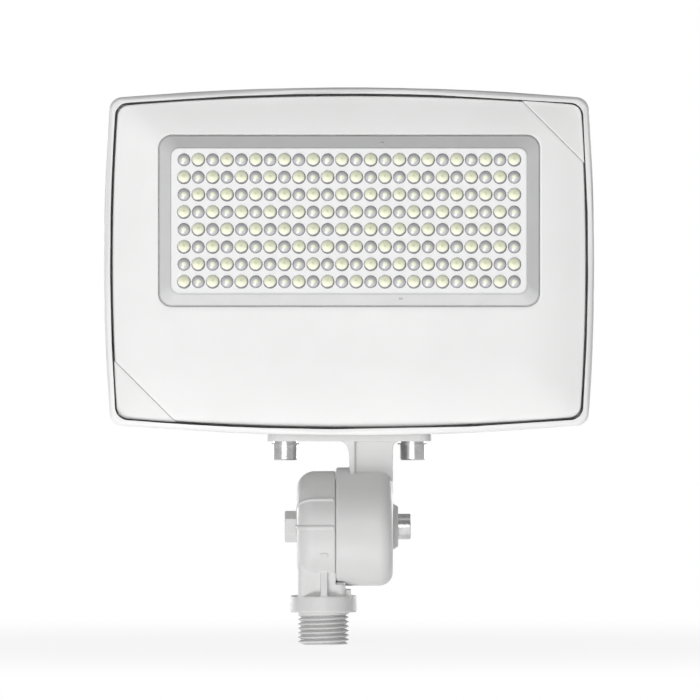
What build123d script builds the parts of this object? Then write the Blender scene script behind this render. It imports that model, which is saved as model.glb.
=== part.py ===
from build123d import *
from math import cos, pi, sqrt
import os

# LED flood light on a tilting conduit knuckle.
# Millimetres. +Z up, +X to the right seen from the front, the lit face looks along -Y.
# Origin: centre of the collar's underside, on the axis of the threaded nipple.

# Head outline
head_x = 10.5
head_z = 142.7
head_width = 198.8
head_height = 141.1
bow_top = 1085.0
bow_side = 876.0
head_corner = 5.4
rim_front = 25.0
flange_depth = 13.0
lip_wall = 2.5
lip_round = 1.1
shadow_gap = 1.0
bezel_corner = 4.9

# Bezel
bezel_crest = 27.0
bezel_wall = 2.5
crown_run = 28.0
crown_radius = 100.0
cap_leg = 27.8
cap_proud = 0.4
cap_wall = 2.0
cap_gap = 0.3
cap_floor = 2.0
well_wall = 2.0
post_width = 2.6
post_reach = 1.0
low_post_spot = (5.4, 18.3)
high_post_spot = (17.3, 7.2)
seam_overrun = 4.0
bezel_screw = 3.5
bezel_screw_head = 6.4
bezel_screw_head_tall = 2.8
bezel_screw_grip = 6.5
bezel_screw_in = 5.5
bezel_screw_top_in = 7.1
left_screw_ups = (48.0, -12.0)
right_screw_ups = (30.0, -12.0)
upper_left_screw_in = 1.2
upper_right_screw_in = 0.4
top_screws_across = (-60.8, 53.2)
bezel_screw_key = 2.5
bezel_screw_key_deep = 1.6
bezel_boss_width = 6.4
press_rib = 2.2

# Window, lens panel and lenslets
window_side_in = 22.1
window_height = 69.5
window_corner = 5.4
window_up = 16.4
lens_gap = 0.3
skirt_sink = 0.2
skirt_run = 4.9
plateau_corner = 3.2
plateau_rise = 2.4
lens_plate = 2.0
lens_wall = 1.8
lens_flange = 3.0
flange_thick = 1.8
flange_drop = 1.3
lens_seal_thick = 1.4
lens_seal_width = 2.4
lens_seal_in = 1.1
lenslet_columns = 24
lenslet_rows = 8
lenslet_side_in = 7.52
lenslet_pitch_z = 7.05
wide_lenslet = 5.7
narrow_lenslet = 5.3
lenslet_rise = 1.5

# Light board
led_width = 2.8
led_height = 3.5
led_thick = 0.7
led_air = 0.6
board_thick = 1.6
board_side_in = 4.3
board_height = 61.0
board_corner = 2.0
pad_thick = 0.5
board_screw = 2.5
board_screw_head = 4.0
board_screw_head_tall = 1.1
board_screw_key = 1.5
board_screw_key_deep = 0.7
board_screw_grip = 5.0
board_screw_columns = 8
board_screw_rows = 2

# Housing
back_wall = 4.0
mesa_margin = 2.2
mesa_corner = 12.0
table_inset = 3.0
gasket_thick = 1.5
gasket_width = 2.2
fin_count = 23
fin_thick = 2.0
fin_pitch = 7.6
fin_top_back = 4.0
fin_low_back = 18.0
driver_bay_top = -20.0
driver_bay_back = 25.0
driver_bay_inset = 2.3
bay_wall = 3.0
bay_round = 4.0
rib_count = 11
rib_tall = 1.6
rib_thick = 2.4
rib_pitch = 15.2
pad_height = 3.0
pad_margin = 2.0
foot_boss = 12.0
foot_boss_up = 8.1
foot_screw_grip = 6.3

# Foot plate and its screws
foot_width = 66.9
foot_depth = 23.2
foot_thick = 4.5
foot_bottom = 69.7
foot_corner = 5.0
foot_screw_spacing = 52.0
screw_m6 = 6.0
cap_head = 10.4
cap_head_tall = 6.4
hex_key = 5.0
hex_key_deep = 3.4
washer_width = 12.6
washer_thick = 0.5
spring_washer_width = 9.8
spring_washer_thick = 0.85
screw_m4 = 4.0
screw_clearance = 0.3
thread_play = 0.05

# Knuckle
tilt_z = 34.9
parting_x = 5.1
cup_right = 28.3
cup_radius = 24.1
cup_round = 5.7
cup_edge = 1.1
cup_wall = 3.6
dome_left = -10.7
dome_radius = 22.6
dome_round = 7.3
dome_wall = 3.6
spigot_play = 0.4
spigot_long = 4.2
cup_bore = 19.4
knuckle_gap = 0.3
bead_proud = 0.45
bead_thick = 0.95
bead_step = 30.0
boss_right = 30.5
boss_wide = 9.4
boss_narrow = 8.1
boss_teeth = 40
boss_lean = 30.6
boss_groove = 0.8
boss_groove_in = 0.25
boss_groove_out = 0.35
hub_radius = 7.5
nut_boss_left = -15.7
nut_boss_corner = 6.5
nut_boss_round = 1.0
teeth_outer = 18.6
teeth_inner = 14.2
teeth_count = 36
teeth_deep = 0.8
teeth_clear = 0.15
teeth_ledge = 2.0
teeth_back = 2.5
teeth_margin = 0.2
seal_ring = 1.6
seal_play = 0.1
bolt_seat = 29.2
bolt_tip = -12.9
cup_washer = 11.2
cup_washer_thick = 0.6
insert_width = 9.2
insert_long = 10.0
insert_skin = 1.5

# Arm
rib_left = 10.0
rib_right = 12.8
rib_depth = 22.0
rib_lean = 1.0
rib_foot = 19.0
web_depth = 18.0
arm_fillet_left = 3.6
arm_fillet_right = 2.8
wire_slot_wide = 9.0
wire_slot_deep = 10.0

# Neck, collar and nipple
collar_width = 26.7
collar_tall = 6.9
collar_edge = 0.7
neck_left = -10.3
neck_right = 8.8
neck_depth = 20.0
neck_corner = 2.5
neck_flare = 34.0
neck_sweep = 25.8
plinth_right = 11.0
plinth_tall = 2.5
plinth_depth = 16.0
stem_rib_left = -1.1
stem_rib_right = 1.7
stem_rib_top = 24.0
stem_rib_proud = 3.0
nipple_long = 13.0
thread_major = 20.8
thread_pitch = 1.814
thread_deep = 1.45
thread_flat = 0.14
thread_relief = 0.9
nipple_bore = 14.0
nipple_chamfer = 0.9
wireway_turn = 5.0
wireway_left = -6.6
wireway_right = 3.0
wireway_deep = 12.0

# Driver and small parts in the head
driver_long = 118.0
driver_tall = 34.0
driver_deep = 22.0
driver_up = -43.0
driver_wall = 1.2
driver_round = 2.0
driver_lid = 1.5
lid_play = 1.5
driver_tab = 9.0
driver_tab_thick = 2.5
driver_screw_grip = 4.5
tab_boss = 9.0
tab_boss_tall = 5.0
m4_head = 7.0
m4_head_tall = 3.0
m4_key = 2.5
m4_key_deep = 1.8
board_stand = 2.0
driver_board_thick = 1.6
part_corner = 1.5
input_choke = (-40.0, 14.0, 16.0, 9.0)
transformer = (0.0, 20.0, 22.0, 13.0)
heat_spreader = (22.0, 9.0, 20.0, 11.0)
capacitors_across = (-24.0, -17.0, 47.0)
large_capacitor = (-4.0, 4.2, 11.0)
small_capacitor = (7.0, 3.1, 8.0)
terminal_long = 11.0
terminal_tall = 8.0
terminal_deep = 6.0
lead_across = 26.6
lead_width = 2.4
lead_hole = 3.4
lead_boss = 8.0
lead_low = -24.0
lead_high = 2.0
lead_turn = -4.0
lead_bend = 6.0
lead_bend_top = 4.0
grommet_width = 11.0
grommet_flange = 1.5
grommet_lip = 1.5
grommet_bore = 7.0
grommet_play = 0.2
vent_width = 11.6
vent_stem = 6.0
vent_tall = 2.4
vent_fins_across = 9
vent_base_up = 14.55
ground_base_up = 40.55
ground_boss_tall = 10.0
ground_grip = 6.0
selector_across = 9.2
selector_middle = 10.6
selector_pitch = 3.6
selector_long = 8.0
selector_tall = 8.0
selector_corner = 2.0
selector_deep = 8.5
slider_long = 2.4
slider_tall = 1.8
slider_travel = 1.5
slider_play = 0.2
slider_proud = 2.1
slider_sink = 1.5

os.makedirs("parts", exist_ok=True)


def head_outline(inset, corner):
    """Four gently bowed sides with rounded corners, inset from the rim's silhouette."""
    half_w = head_width / 2 - inset
    half_h = head_height / 2 - inset
    level = Circle(bow_top - inset)
    upright = Circle(bow_side - inset)
    rise = bow_top - inset - half_h
    reach = bow_side - inset - half_w
    shape = (Pos(0, -rise) * level) & (Pos(0, rise) * level)
    shape = shape & (Pos(-reach, 0) * upright) & (Pos(reach, 0) * upright)
    return fillet(shape.vertices(), corner)


def slab(sketch, front, back, x=head_x, z=head_z):
    """Sketch (right, up) about the point x, z, made solid from Y = front back to Y = back."""
    plane = Plane(origin=(x, back, z), x_dir=(1, 0, 0), z_dir=(0, -1, 0))
    return extrude(plane * sketch, back - front)


def crown_curve(half, crest, back):
    """Section of the crowned face: flat in the middle, an arc of crown_radius to each edge."""
    flat = half - crown_run
    far = half + 6
    run = far - flat
    drop = crown_radius - sqrt(crown_radius**2 - run**2)
    mid = crown_radius - sqrt(crown_radius**2 - (run / 2) ** 2)
    top = Line((-flat, crest), (flat, crest))
    right = ThreePointArc((flat, crest), (flat + run / 2, crest - mid), (far, crest - drop))
    left = ThreePointArc((-flat, crest), (-flat - run / 2, crest - mid), (-far, crest - drop))
    base = Polyline((far, crest - drop), (far, -back), (-far, -back), (-far, crest - drop))
    return make_face(Curve() + [top, right, left, base])


def crowned(inset, corner, crest, back):
    """The crowned block: the head outline cut to the crown in both directions."""
    block = slab(head_outline(inset, corner), -crest - 1, back)
    half_w = head_width / 2 - lip_wall - shadow_gap
    half_h = head_height / 2 - lip_wall - shadow_gap
    side_plane = Plane(origin=(head_x - head_width, 0, head_z), x_dir=(0, 0, 1), z_dir=(1, 0, 0))
    upright = side_plane * crown_curve(half_h, crest, back)
    top_plane = Plane(origin=(head_x, 0, head_z - head_height), x_dir=(1, 0, 0), z_dir=(0, 0, 1))
    level = top_plane * (mirror(crown_curve(half_w, crest, back), Plane.XZ))
    across = extrude(upright, 2 * head_width)
    along = extrude(level, 2 * head_height)
    return block & across & along


def plate(width, height, corner, up=0.0):
    """A rounded rectangle, up from the head's centre by up."""
    return Pos(0, up) * RectangleRounded(width, height, corner)


def ring(width, height, corner, wall, up=0.0):
    """A rounded frame of the given wall, measured inwards from width and height."""
    return plate(width, height, corner, up) - plate(width - 2 * wall, height - 2 * wall, corner - wall, up)


def joined(shapes):
    """One solid from a first shape and the ones that grow out of it."""
    return shapes[0].fuse(*shapes[1:]).clean() if len(shapes) > 1 else shapes[0]


def cap_corner(side, leg):
    """The triangle outside a seam at 45 degrees, at the upper right (side 1) or lower left (-1)."""
    inner_x = side * (bezel_width / 2 - leg - seam_overrun)
    inner_z = side * (bezel_height / 2 - leg - seam_overrun)
    outer_x = side * (bezel_width / 2 + seam_overrun)
    outer_z = side * (bezel_height / 2 + seam_overrun)
    return make_face(Polyline((inner_x, outer_z), (outer_x, outer_z), (outer_x, inner_z), (inner_x, outer_z)))


def in_corner(side, across, up):
    """A point in the head's sketch, measured in from the bezel's corner."""
    return Pos(side * (bezel_width / 2 - across), side * (bezel_height / 2 - up))


# Planes through the head, all from the rim and the window
bezel_inset = lip_wall + shadow_gap
bezel_width = head_width - 2 * bezel_inset
bezel_height = head_height - 2 * bezel_inset
flange_back = -rim_front + flange_depth
shelf_y = flange_back - back_wall
bezel_foot = shelf_y - gasket_thick
skirt_y = -bezel_crest + skirt_sink
plateau_y = skirt_y - plateau_rise
plate_back = plateau_y + lens_plate
led_front = plate_back + led_air
board_front = led_front + led_thick
pad_front = board_front + board_thick
platform_y = pad_front + pad_thick
lens_flange_y = -bezel_crest + bezel_wall + flange_drop
lens_seal_y = lens_flange_y + flange_thick
step_y = lens_seal_y + lens_seal_thick
mesa_pocket_y = step_y + back_wall
cap_floor_y = bezel_foot - cap_floor
bay_inner_back = driver_bay_back - bay_wall
foot_top = foot_bottom + foot_thick
bay_bottom = head_z - head_height / 2 + driver_bay_inset + bay_wall
foot_boss_top = foot_top + foot_boss_up
foot_hole_top = foot_top + foot_screw_grip + 0.5
window_width = head_width - 2 * window_side_in
lenslet_pitch_x = (window_width - 2 * lenslet_side_in) / lenslet_columns
board_width = window_width - 2 * board_side_in
mesa_width = window_width + 2 * (lens_flange + mesa_margin)
mesa_height = window_height + 2 * (lens_flange + mesa_margin)
wire_x = (rib_right + cup_right) / 2
tab_back = bay_inner_back - tab_boss_tall
driver_front = bay_inner_back - driver_deep
driver_screw_across = driver_long / 2 + driver_tab / 2
terminal_back = driver_front + terminal_deep
ground_seat = bay_inner_back - ground_boss_tall
ground_spot = (-driver_long / 2 - driver_tab, ground_base_up - head_height / 2)
vent_spot = (vent_fins_across * fin_pitch, vent_base_up - head_height / 2)
grommet_long = bay_bottom - foot_top + grommet_play
lead_y = mesa_pocket_y
bend_tall = lead_bend_top + lead_hole + 1.5
selector_ups = (selector_middle - selector_pitch / 2, selector_middle + selector_pitch / 2)
selector_back = bezel_foot + selector_deep
slot_long = slider_long + 2 * slider_travel + 2 * slider_play
slot_tall = slider_tall + 2 * slider_play
slider_front = cap_floor_y - slider_proud
slider_back = bezel_foot + slider_sink
dome_right = parting_x - knuckle_gap
teeth_root_x = dome_right + spigot_long
cup_floor_x = teeth_root_x + 2 * teeth_deep + teeth_clear
spigot_radius = cup_bore - spigot_play
seal_x = (dome_right + teeth_root_x) / 2
seal_floor = cup_bore - seal_play - seal_ring
insert_left = nut_boss_left + insert_skin
washer_seat = cup_washer / 2 + screw_clearance


def make_bezel():
    """Crowned shell with the window, the seat that holds the lens, and a floored well at each cap."""
    outer = crowned(bezel_inset, bezel_corner, bezel_crest, bezel_foot)
    hollow = crowned(bezel_inset + bezel_wall, bezel_corner - bezel_wall, bezel_crest - bezel_wall, 0)
    shell = outer - hollow
    press = slab(
        ring(window_width + 2 * press_rib, window_height + 2 * press_rib, window_corner + press_rib,
             press_rib, window_up),
        -bezel_crest, lens_flange_y,
    )
    shell = shell + (press & outer)
    for side in (1, -1):
        well = slab(cap_corner(side, cap_leg), -bezel_crest - 5, cap_floor_y)
        below = slab(cap_corner(side, cap_leg + well_wall), -bezel_crest - 5, bezel_foot)
        shell = shell + (below & outer) - well
        shell = shell - slab(cap_posts(side, post_width + 2 * cap_gap), -bezel_crest, 0)
    shell = shell - slab(selector_slots(), -bezel_crest, 0)
    shell = shell - slab(plate(window_width, window_height, window_corner, window_up), -bezel_crest - 5, 0)
    for spot in bezel_screw_spots():
        boss = slab(Pos(*spot) * Circle(bezel_boss_width / 2), -bezel_crest + bezel_wall / 2, bezel_foot)
        bore = slab(Pos(*spot) * Circle(bezel_screw / 2 + thread_play), bezel_foot - bezel_screw_grip, 0)
        shell = shell + (boss & outer) - bore
    return shell


def cap_posts(side, width):
    """Two round posts, one near each end of the cap's seam."""
    low = in_corner(side, *low_post_spot) * Circle(width / 2)
    return low + in_corner(side, *high_post_spot) * Circle(width / 2)


def selector_slots():
    """Two slots through the lower well's floor, one for each slide switch."""
    slots = [in_corner(-1, selector_across, up) * Rectangle(slot_long, slot_tall) for up in selector_ups]
    return slots[0] + slots[1]


def bezel_screw_spots():
    """Six screws round the finned part of the back, clear of the upper cap's well and the driver bay."""
    side = bezel_width / 2 - bezel_screw_in
    top = bezel_height / 2 - bezel_screw_top_in
    left = [(-side + upper_left_screw_in, left_screw_ups[0]), (-side, left_screw_ups[1])]
    right = [(side, right_screw_ups[1]), (side - upper_right_screw_in, right_screw_ups[0])]
    return left + right + [(across, top) for across in top_screws_across]


def make_cap(side):
    """A triangular shell on the bezel's crown, with edges that drop to the well and two posts."""
    outer = crowned(bezel_inset - cap_proud, bezel_corner, bezel_crest, cap_floor_y - cap_gap)
    hollow = crowned(
        bezel_inset - cap_proud + cap_wall, bezel_corner - cap_wall, bezel_crest - cap_wall, 0
    )
    corner = slab(cap_corner(side, cap_leg - cap_gap), -bezel_crest - 5, 0)
    posts = slab(cap_posts(side, post_width), -bezel_crest, cap_floor_y + cap_floor + post_reach)
    body = (outer - hollow) & corner
    return body + (posts & crowned(bezel_inset, bezel_corner, bezel_crest, 0))


def make_lens_panel():
    """Clear moulded panel: flange, straight wall, bevelled skirt, plateau and a lenslet at each LED."""
    wide = window_width - 2 * lens_gap
    tall = window_height - 2 * lens_gap
    corner = window_corner - lens_gap
    base = slab(plate(wide, tall, corner, window_up), skirt_y, lens_seal_y)
    top_w = wide - 2 * skirt_run
    top_h = tall - 2 * skirt_run
    low = Plane(origin=(head_x, skirt_y, head_z), x_dir=(1, 0, 0), z_dir=(0, -1, 0))
    high = Plane(origin=(head_x, plateau_y, head_z), x_dir=(1, 0, 0), z_dir=(0, -1, 0))
    skirt = loft(
        [low * plate(wide, tall, corner, window_up), high * plate(top_w, top_h, plateau_corner, window_up)],
        ruled=True,
    )
    flange = slab(
        plate(wide + 2 * lens_flange, tall + 2 * lens_flange, corner + lens_flange, window_up),
        lens_flange_y, lens_seal_y,
    )
    pocket = slab(
        plate(wide - 2 * lens_wall, tall - 2 * lens_wall, corner - lens_wall, window_up),
        skirt_y + lens_wall / 2, 0,
    )
    recess = slab(plate(top_w - 2, top_h - 2, plateau_corner - 1, window_up), plate_back, 0)
    domes = [lenslet(col, row) for row in range(lenslet_rows) for col in range(lenslet_columns)]
    body = base + skirt + flange - pocket - recess
    return body.fuse(*domes)


def lenslet_place(col, row):
    """Centre of a lenslet and of its LED, from the window's centre; row 0 is the top row."""
    across = (col - (lenslet_columns - 1) / 2) * lenslet_pitch_x
    up = window_up + ((lenslet_rows - 1) / 2 - row) * lenslet_pitch_z
    return across, up


def lenslet(col, row):
    """A low round dome; wide ones and narrow ones alternate like a checkerboard."""
    across, up = lenslet_place(col, row)
    half = (wide_lenslet if (col + row) % 2 else narrow_lenslet) / 2
    ball = (half**2 + lenslet_rise**2) / (2 * lenslet_rise)
    centre = Pos(head_x + across, plateau_y - lenslet_rise + ball, head_z + up)
    keep = slab(Pos(across, up) * Circle(half), plateau_y - lenslet_rise - 1, plateau_y + 0.2)
    return (centre * Sphere(ball)) & keep


def make_leds(odd):
    """One colour of LED: every second place of the checkerboard."""
    chips = []
    for row in range(lenslet_rows):
        for col in range(lenslet_columns):
            if (col + row) % 2 == odd:
                across, up = lenslet_place(col, row)
                chips.append(slab(Pos(across, up) * Rectangle(led_width, led_height), led_front, board_front))
    return Compound(children=chips)


def board_screw_spots():
    """Screw places between the LEDs, in two rows of three."""
    reach = board_screw_columns * lenslet_pitch_x
    rise = board_screw_rows * lenslet_pitch_z
    return [(across, window_up + up) for up in (-rise, rise) for across in (-reach, 0, reach)]


def make_housing():
    """Die-cast body: lip, tray floor, raised seat for the light board, fins, driver bay, foot pad."""
    rim = slab(head_outline(0, head_corner), -rim_front, flange_back)
    rim = fillet(rim.faces().sort_by(Axis.Y)[0].edges(), lip_round)
    tray = slab(head_outline(lip_wall, bezel_corner + shadow_gap / 2), -rim_front - 1, shelf_y)
    body = rim - tray
    mesa = slab(plate(mesa_width, mesa_height, mesa_corner, window_up), step_y, flange_back)
    table = slab(
        plate(window_width - 2 * table_inset, window_height - 2 * table_inset, lens_wall, window_up),
        platform_y, step_y + 1,
    )
    bay_outer = bay_block(driver_bay_inset, driver_bay_top, bay_round)
    bay = slab(bay_outer, flange_back - 1, driver_bay_back)
    bay = fillet(bay.faces().sort_by(Axis.Y)[-1].edges(), bay_round - 0.5)
    pocket = slab(
        plate(mesa_width - 2 * back_wall, mesa_height - 2 * back_wall, mesa_corner, window_up),
        mesa_pocket_y, flange_back + 1,
    )
    body = joined([body, mesa, table, bay]) - pocket
    fins = [make_fin((i - (fin_count - 1) / 2) * fin_pitch) for i in range(fin_count)]
    ribs = [make_bay_rib((i - (rib_count - 1) / 2) * rib_pitch) for i in range(rib_count)]
    half = foot_width / 2 + pad_margin
    foot_pad = slab(
        Pos(0, foot_top - head_z + pad_height / 2) * Rectangle(2 * half, pad_height),
        -foot_depth / 2, foot_depth / 2 + pad_margin,
    )
    channel = slab(
        Pos(lead_across, (lead_low + lead_high) / 2) * Rectangle(lead_boss, lead_high - lead_low),
        step_y + 1, flange_back,
    )
    body = joined([body, *fins, *ribs, foot_pad, channel])
    inside = slab(
        bay_block(driver_bay_inset + bay_wall, driver_bay_top - bay_wall, bay_round - bay_wall + 1),
        shelf_y - 1, bay_inner_back,
    )
    body = body - inside
    bosses = []
    for side in (-1, 1):
        bosses.append(
            Pos(head_x + side * foot_screw_spacing / 2, 0, (foot_top + foot_boss_top) / 2)
            * Cylinder(foot_boss / 2, foot_boss_top - foot_top)
        )
        tab_spot = Pos(side * driver_screw_across, driver_up)
        bosses.append(slab(tab_spot * Circle(tab_boss / 2), tab_back, bay_inner_back + 1))
    bosses.append(slab(Pos(*ground_spot) * Circle(tab_boss / 2), ground_seat, bay_inner_back + 1))
    body = joined([body, *bosses])
    return drill_housing(body)


def bay_block(inset, top, corner):
    """The part of the head's outline below top."""
    cut = Pos(0, top - head_height / 2) * Rectangle(head_width, head_height)
    shape = head_outline(inset, corner) & cut
    return fillet(shape.vertices().group_by(Axis.Y)[-1], corner)


def make_fin(across):
    """One upright fin, shallow at the top and deep at the driver bay, kept inside the outline."""
    inside = abs(across) < mesa_width / 2 - back_wall - fin_thick
    front = mesa_pocket_y - 0.5 if inside else flange_back - 0.5
    section = make_face(Polyline(
        (front, driver_bay_top - 1),
        (front, mesa_height / 2 + window_up - back_wall),
        (flange_back - 0.5, mesa_height / 2 + window_up),
        (flange_back - 0.5, head_height / 2),
        (fin_top_back, head_height / 2),
        (fin_low_back, driver_bay_top - 1),
        (front, driver_bay_top - 1),
    ))
    plane = Plane(origin=(head_x + across - fin_thick / 2, 0, head_z), x_dir=(0, 1, 0), z_dir=(1, 0, 0))
    fin = extrude(plane * section, fin_thick)
    return fin & slab(head_outline(driver_bay_inset, bay_round), mesa_pocket_y - 1, fin_low_back + 1)


def make_bay_rib(across):
    """A low upright rib on the back of the driver bay."""
    tall = head_height / 2 + driver_bay_top - driver_bay_inset - 2 * bay_round - 3
    middle = (driver_bay_top - head_height / 2 + driver_bay_inset) / 2
    rib = slab(Pos(across, middle) * SlotOverall(tall, rib_thick, rotation=90),
               driver_bay_back - 1, driver_bay_back + rib_tall)
    return rib


def drill_housing(body):
    """Screw holes, the wire entry through the foot pad, the board lead's channel and the vent."""
    for side in (-1, 1):
        spot = Pos(head_x + side * foot_screw_spacing / 2, 0, 0)
        body = body - spot * Pos(0, 0, (foot_top + foot_hole_top) / 2) * Cylinder(
            screw_m6 / 2 + thread_play, foot_hole_top - foot_top
        )
        body = body - slab(
            Pos(side * driver_screw_across, driver_up) * Circle(screw_m4 / 2 + thread_play),
            tab_back - 1, tab_back + driver_screw_grip + 0.5,
        )
    body = body - slab(Pos(*ground_spot) * Circle(screw_m4 / 2 + thread_play), ground_seat - 1,
                       ground_seat + ground_grip + 0.5)
    entry = Pos(wire_x, 0, foot_top) * Cylinder(grommet_width / 2, 12)
    body = body - entry
    for spot in board_screw_spots():
        body = body - slab(Pos(*spot) * Circle(board_screw / 2 + thread_play), platform_y - 1,
                           platform_y + board_screw_grip + 0.5)
    for spot in bezel_screw_spots():
        body = body - slab(Pos(*spot) * Circle(bezel_screw / 2 + screw_clearance), shelf_y - 1,
                           flange_back + 30)
        body = body - slab(Pos(*spot) * Circle(bezel_screw_head / 2 + screw_clearance),
                           flange_back, flange_back + 30)
    tunnel_x = head_x + lead_across
    tunnel = Pos(tunnel_x, lead_y, head_z + (lead_low + lead_turn) / 2 - 4) * Cylinder(
        lead_hole / 2, lead_turn - lead_low + 8 + lead_hole
    )
    bend_middle = lead_turn + (lead_hole - bend_tall) / 2
    bend_room = Pos(lead_across, bend_middle) * SlotOverall(bend_tall, lead_hole, 90)
    up_hole = slab(bend_room, platform_y - 1, lead_y + lead_hole / 2)
    vent = slab(Pos(*vent_spot) * Circle(vent_stem / 2 + thread_play), bay_inner_back - 1,
                driver_bay_back + 2)
    return body - tunnel - up_hole - vent


def make_board():
    """Aluminium-backed board that carries every LED."""
    sheet = slab(plate(board_width, board_height, board_corner, window_up), board_front, pad_front)
    holes = [slab(Pos(*spot) * Circle(board_screw / 2 + screw_clearance / 2), board_front - 1, pad_front + 1)
             for spot in board_screw_spots()]
    lead = slab(Pos(lead_across, lead_turn) * Circle(lead_width / 2 + screw_clearance / 2), board_front + 0.5,
                pad_front + 1)
    return sheet - holes - lead


def make_pad():
    """Soft thermal pad between board and seat."""
    sheet = slab(plate(board_width, board_height, board_corner, window_up), pad_front, platform_y)
    holes = [slab(Pos(*spot) * Circle(board_screw / 2 + screw_clearance), pad_front - 1, platform_y + 1)
             for spot in board_screw_spots()]
    lead = slab(Pos(lead_across, lead_turn) * Circle(lead_hole / 2), pad_front - 1, platform_y + 1)
    return sheet - holes - lead


def screw(width, long, head_width, head_tall, key, key_deep):
    """Socket screw along +Z: seat at the origin, head below it, shank above it."""
    head = Pos(0, 0, -head_tall / 2) * Cylinder(head_width / 2, head_tall)
    head = chamfer(head.edges().group_by(Axis.Z)[0], head_width * 0.04)
    socket = Pos(0, 0, -head_tall) * extrude(RegularPolygon(key / sqrt(3), 6), key_deep)
    shank = Pos(0, 0, long / 2) * Cylinder(width / 2, long)
    shank = chamfer(shank.edges().group_by(Axis.Z)[-1], width * 0.08)
    return head + shank - socket


def screws_along_y(spots, seat, pointing, sizes):
    """Screws at points of the head's sketch, seated at Y = seat, shanks towards +Y (1) or -Y (-1)."""
    turn = Rot(-90 * pointing, 0, 0)
    return Compound(children=[
        Pos(head_x + across, seat, head_z + up) * turn * screw(*sizes) for across, up in spots
    ])


def make_driver_case():
    """Open metal tray of the driver, with a screw tab at each end."""
    outer = slab(Pos(0, driver_up) * Rectangle(driver_long, driver_tall), driver_front, bay_inner_back)
    outer = fillet(outer.edges().filter_by(Axis.Y), driver_round)
    hollow = slab(
        Pos(0, driver_up) * Rectangle(driver_long - 2 * driver_wall, driver_tall - 2 * driver_wall),
        driver_front - 1, bay_inner_back - driver_wall,
    )
    tabs = slab(
        Pos(0, driver_up) * SlotOverall(2 * driver_screw_across + driver_tab, driver_tab),
        tab_back - driver_tab_thick, tab_back,
    ) - slab(Pos(0, driver_up) * Rectangle(driver_long - 2, driver_tall), tab_back - 9, tab_back + 1)
    holes = [slab(Pos(side * driver_screw_across, driver_up) * Circle(screw_m4 / 2 + screw_clearance),
                  tab_back - 9, tab_back + 1) for side in (-1, 1)]
    return (outer + tabs) - hollow - holes


def make_driver_lid():
    """Flat lid of the driver with a turned-in edge and the opening for the output connector."""
    sheet = slab(Pos(0, driver_up) * Rectangle(driver_long, driver_tall), driver_front - driver_lid,
                 driver_front)
    lip = slab(
        Pos(0, driver_up) * (
            Rectangle(driver_long - 2 * lid_play, driver_tall - 2 * lid_play)
            - Rectangle(driver_long - 2 * lid_play - 2, driver_tall - 2 * lid_play - 2)
        ),
        driver_front, driver_front + 2,
    )
    opening = slab(Pos(lead_across, driver_up) * Rectangle(terminal_long + 0.4, terminal_tall + 0.4),
                   driver_front - 5, driver_front + 1)
    return sheet + lip - opening


def make_driver_board():
    """Circuit board inside the driver, with its transformer, capacitors and power switches."""
    floor = bay_inner_back - driver_wall - board_stand
    long = driver_long - 2 * driver_wall - 1
    tall = driver_tall - 2 * driver_wall - 1
    board = slab(Pos(0, driver_up) * Rectangle(long, tall), floor - driver_board_thick, floor)
    top = floor - driver_board_thick
    parts = [board]
    for across, wide, high, proud in (input_choke, transformer, heat_spreader):
        outline = RectangleRounded(wide, high, part_corner)
        parts.append(slab(Pos(across, driver_up) * outline, top - proud, top + 0.2))
    for across in capacitors_across:
        for up, half, proud in (large_capacitor, small_capacitor):
            parts.append(slab(Pos(across, driver_up + up) * Circle(half), top - proud, top + 0.2))
    for corner_x in (-1, 1):
        for corner_z in (-1, 1):
            spot = Pos(corner_x * (long / 2 - 3), driver_up + corner_z * (tall / 2 - 3))
            parts.append(slab(spot * Circle(1.8), floor - 0.2, bay_inner_back - driver_wall))
    return joined(parts)


def make_terminal():
    """Output connector that stands in the lid's opening."""
    block = slab(Pos(lead_across, driver_up) * Rectangle(terminal_long, terminal_tall),
                 driver_front - driver_lid - 2, terminal_back)
    socket = slab(Pos(lead_across, driver_up) * Circle(lead_width / 2 + 0.15),
                  driver_front - driver_lid - 3, driver_front - driver_lid + 1)
    return block - socket


def make_board_lead():
    """Two-core lead from the driver's connector, up its channel and out to the back of the board."""
    x = head_x + lead_across
    low = (x, driver_front - driver_lid + 1, head_z + driver_up)
    turn = (x, lead_y, head_z + driver_up)
    rise = (x, lead_y, head_z + lead_turn)
    end = (x, board_front + 0.5, head_z + lead_turn)
    path = FilletPolyline(low, turn, rise, end, radius=(lead_bend, lead_bend_top))
    face = Plane(origin=low, x_dir=(1, 0, 0), z_dir=(0, -1, 0)) * Circle(lead_width / 2)
    tube = sweep(face, path=path)
    print("board lead radii", lead_bend, lead_bend_top, "length", round(path.length, 1),
          "volume ratio", round(tube.volume / (pi * lead_width**2 / 4 * path.length), 4))
    return tube


def make_gasket(outline_inset, width, front, back):
    """A flat ring that follows the head's outline."""
    outer = head_outline(outline_inset, bezel_corner)
    inner = head_outline(outline_inset + width, bezel_corner - width / 2)
    return slab(outer - inner, front, back)


def make_selector():
    """Body of the slide-switch pair behind the lower cap's floor."""
    middle = (selector_ups[0] + selector_ups[1]) / 2
    outline = RectangleRounded(selector_long, selector_tall, selector_corner)
    body = slab(in_corner(-1, selector_across, middle) * outline, bezel_foot, selector_back)
    return body - slab(selector_slots(), bezel_foot - 1, slider_back + 0.3)


def make_slider(up):
    """One slide switch's knob, with three grip grooves on its face."""
    stem = slab(in_corner(-1, selector_across, up) * Rectangle(slider_long, slider_tall), slider_front,
                slider_back)
    grooves = [
        slab(in_corner(-1, selector_across + step * 0.9, up) * Rectangle(0.35, slider_tall + 1),
             slider_front - 1, slider_front + 0.35) for step in (-1, 0, 1)
    ]
    return stem - grooves


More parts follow.
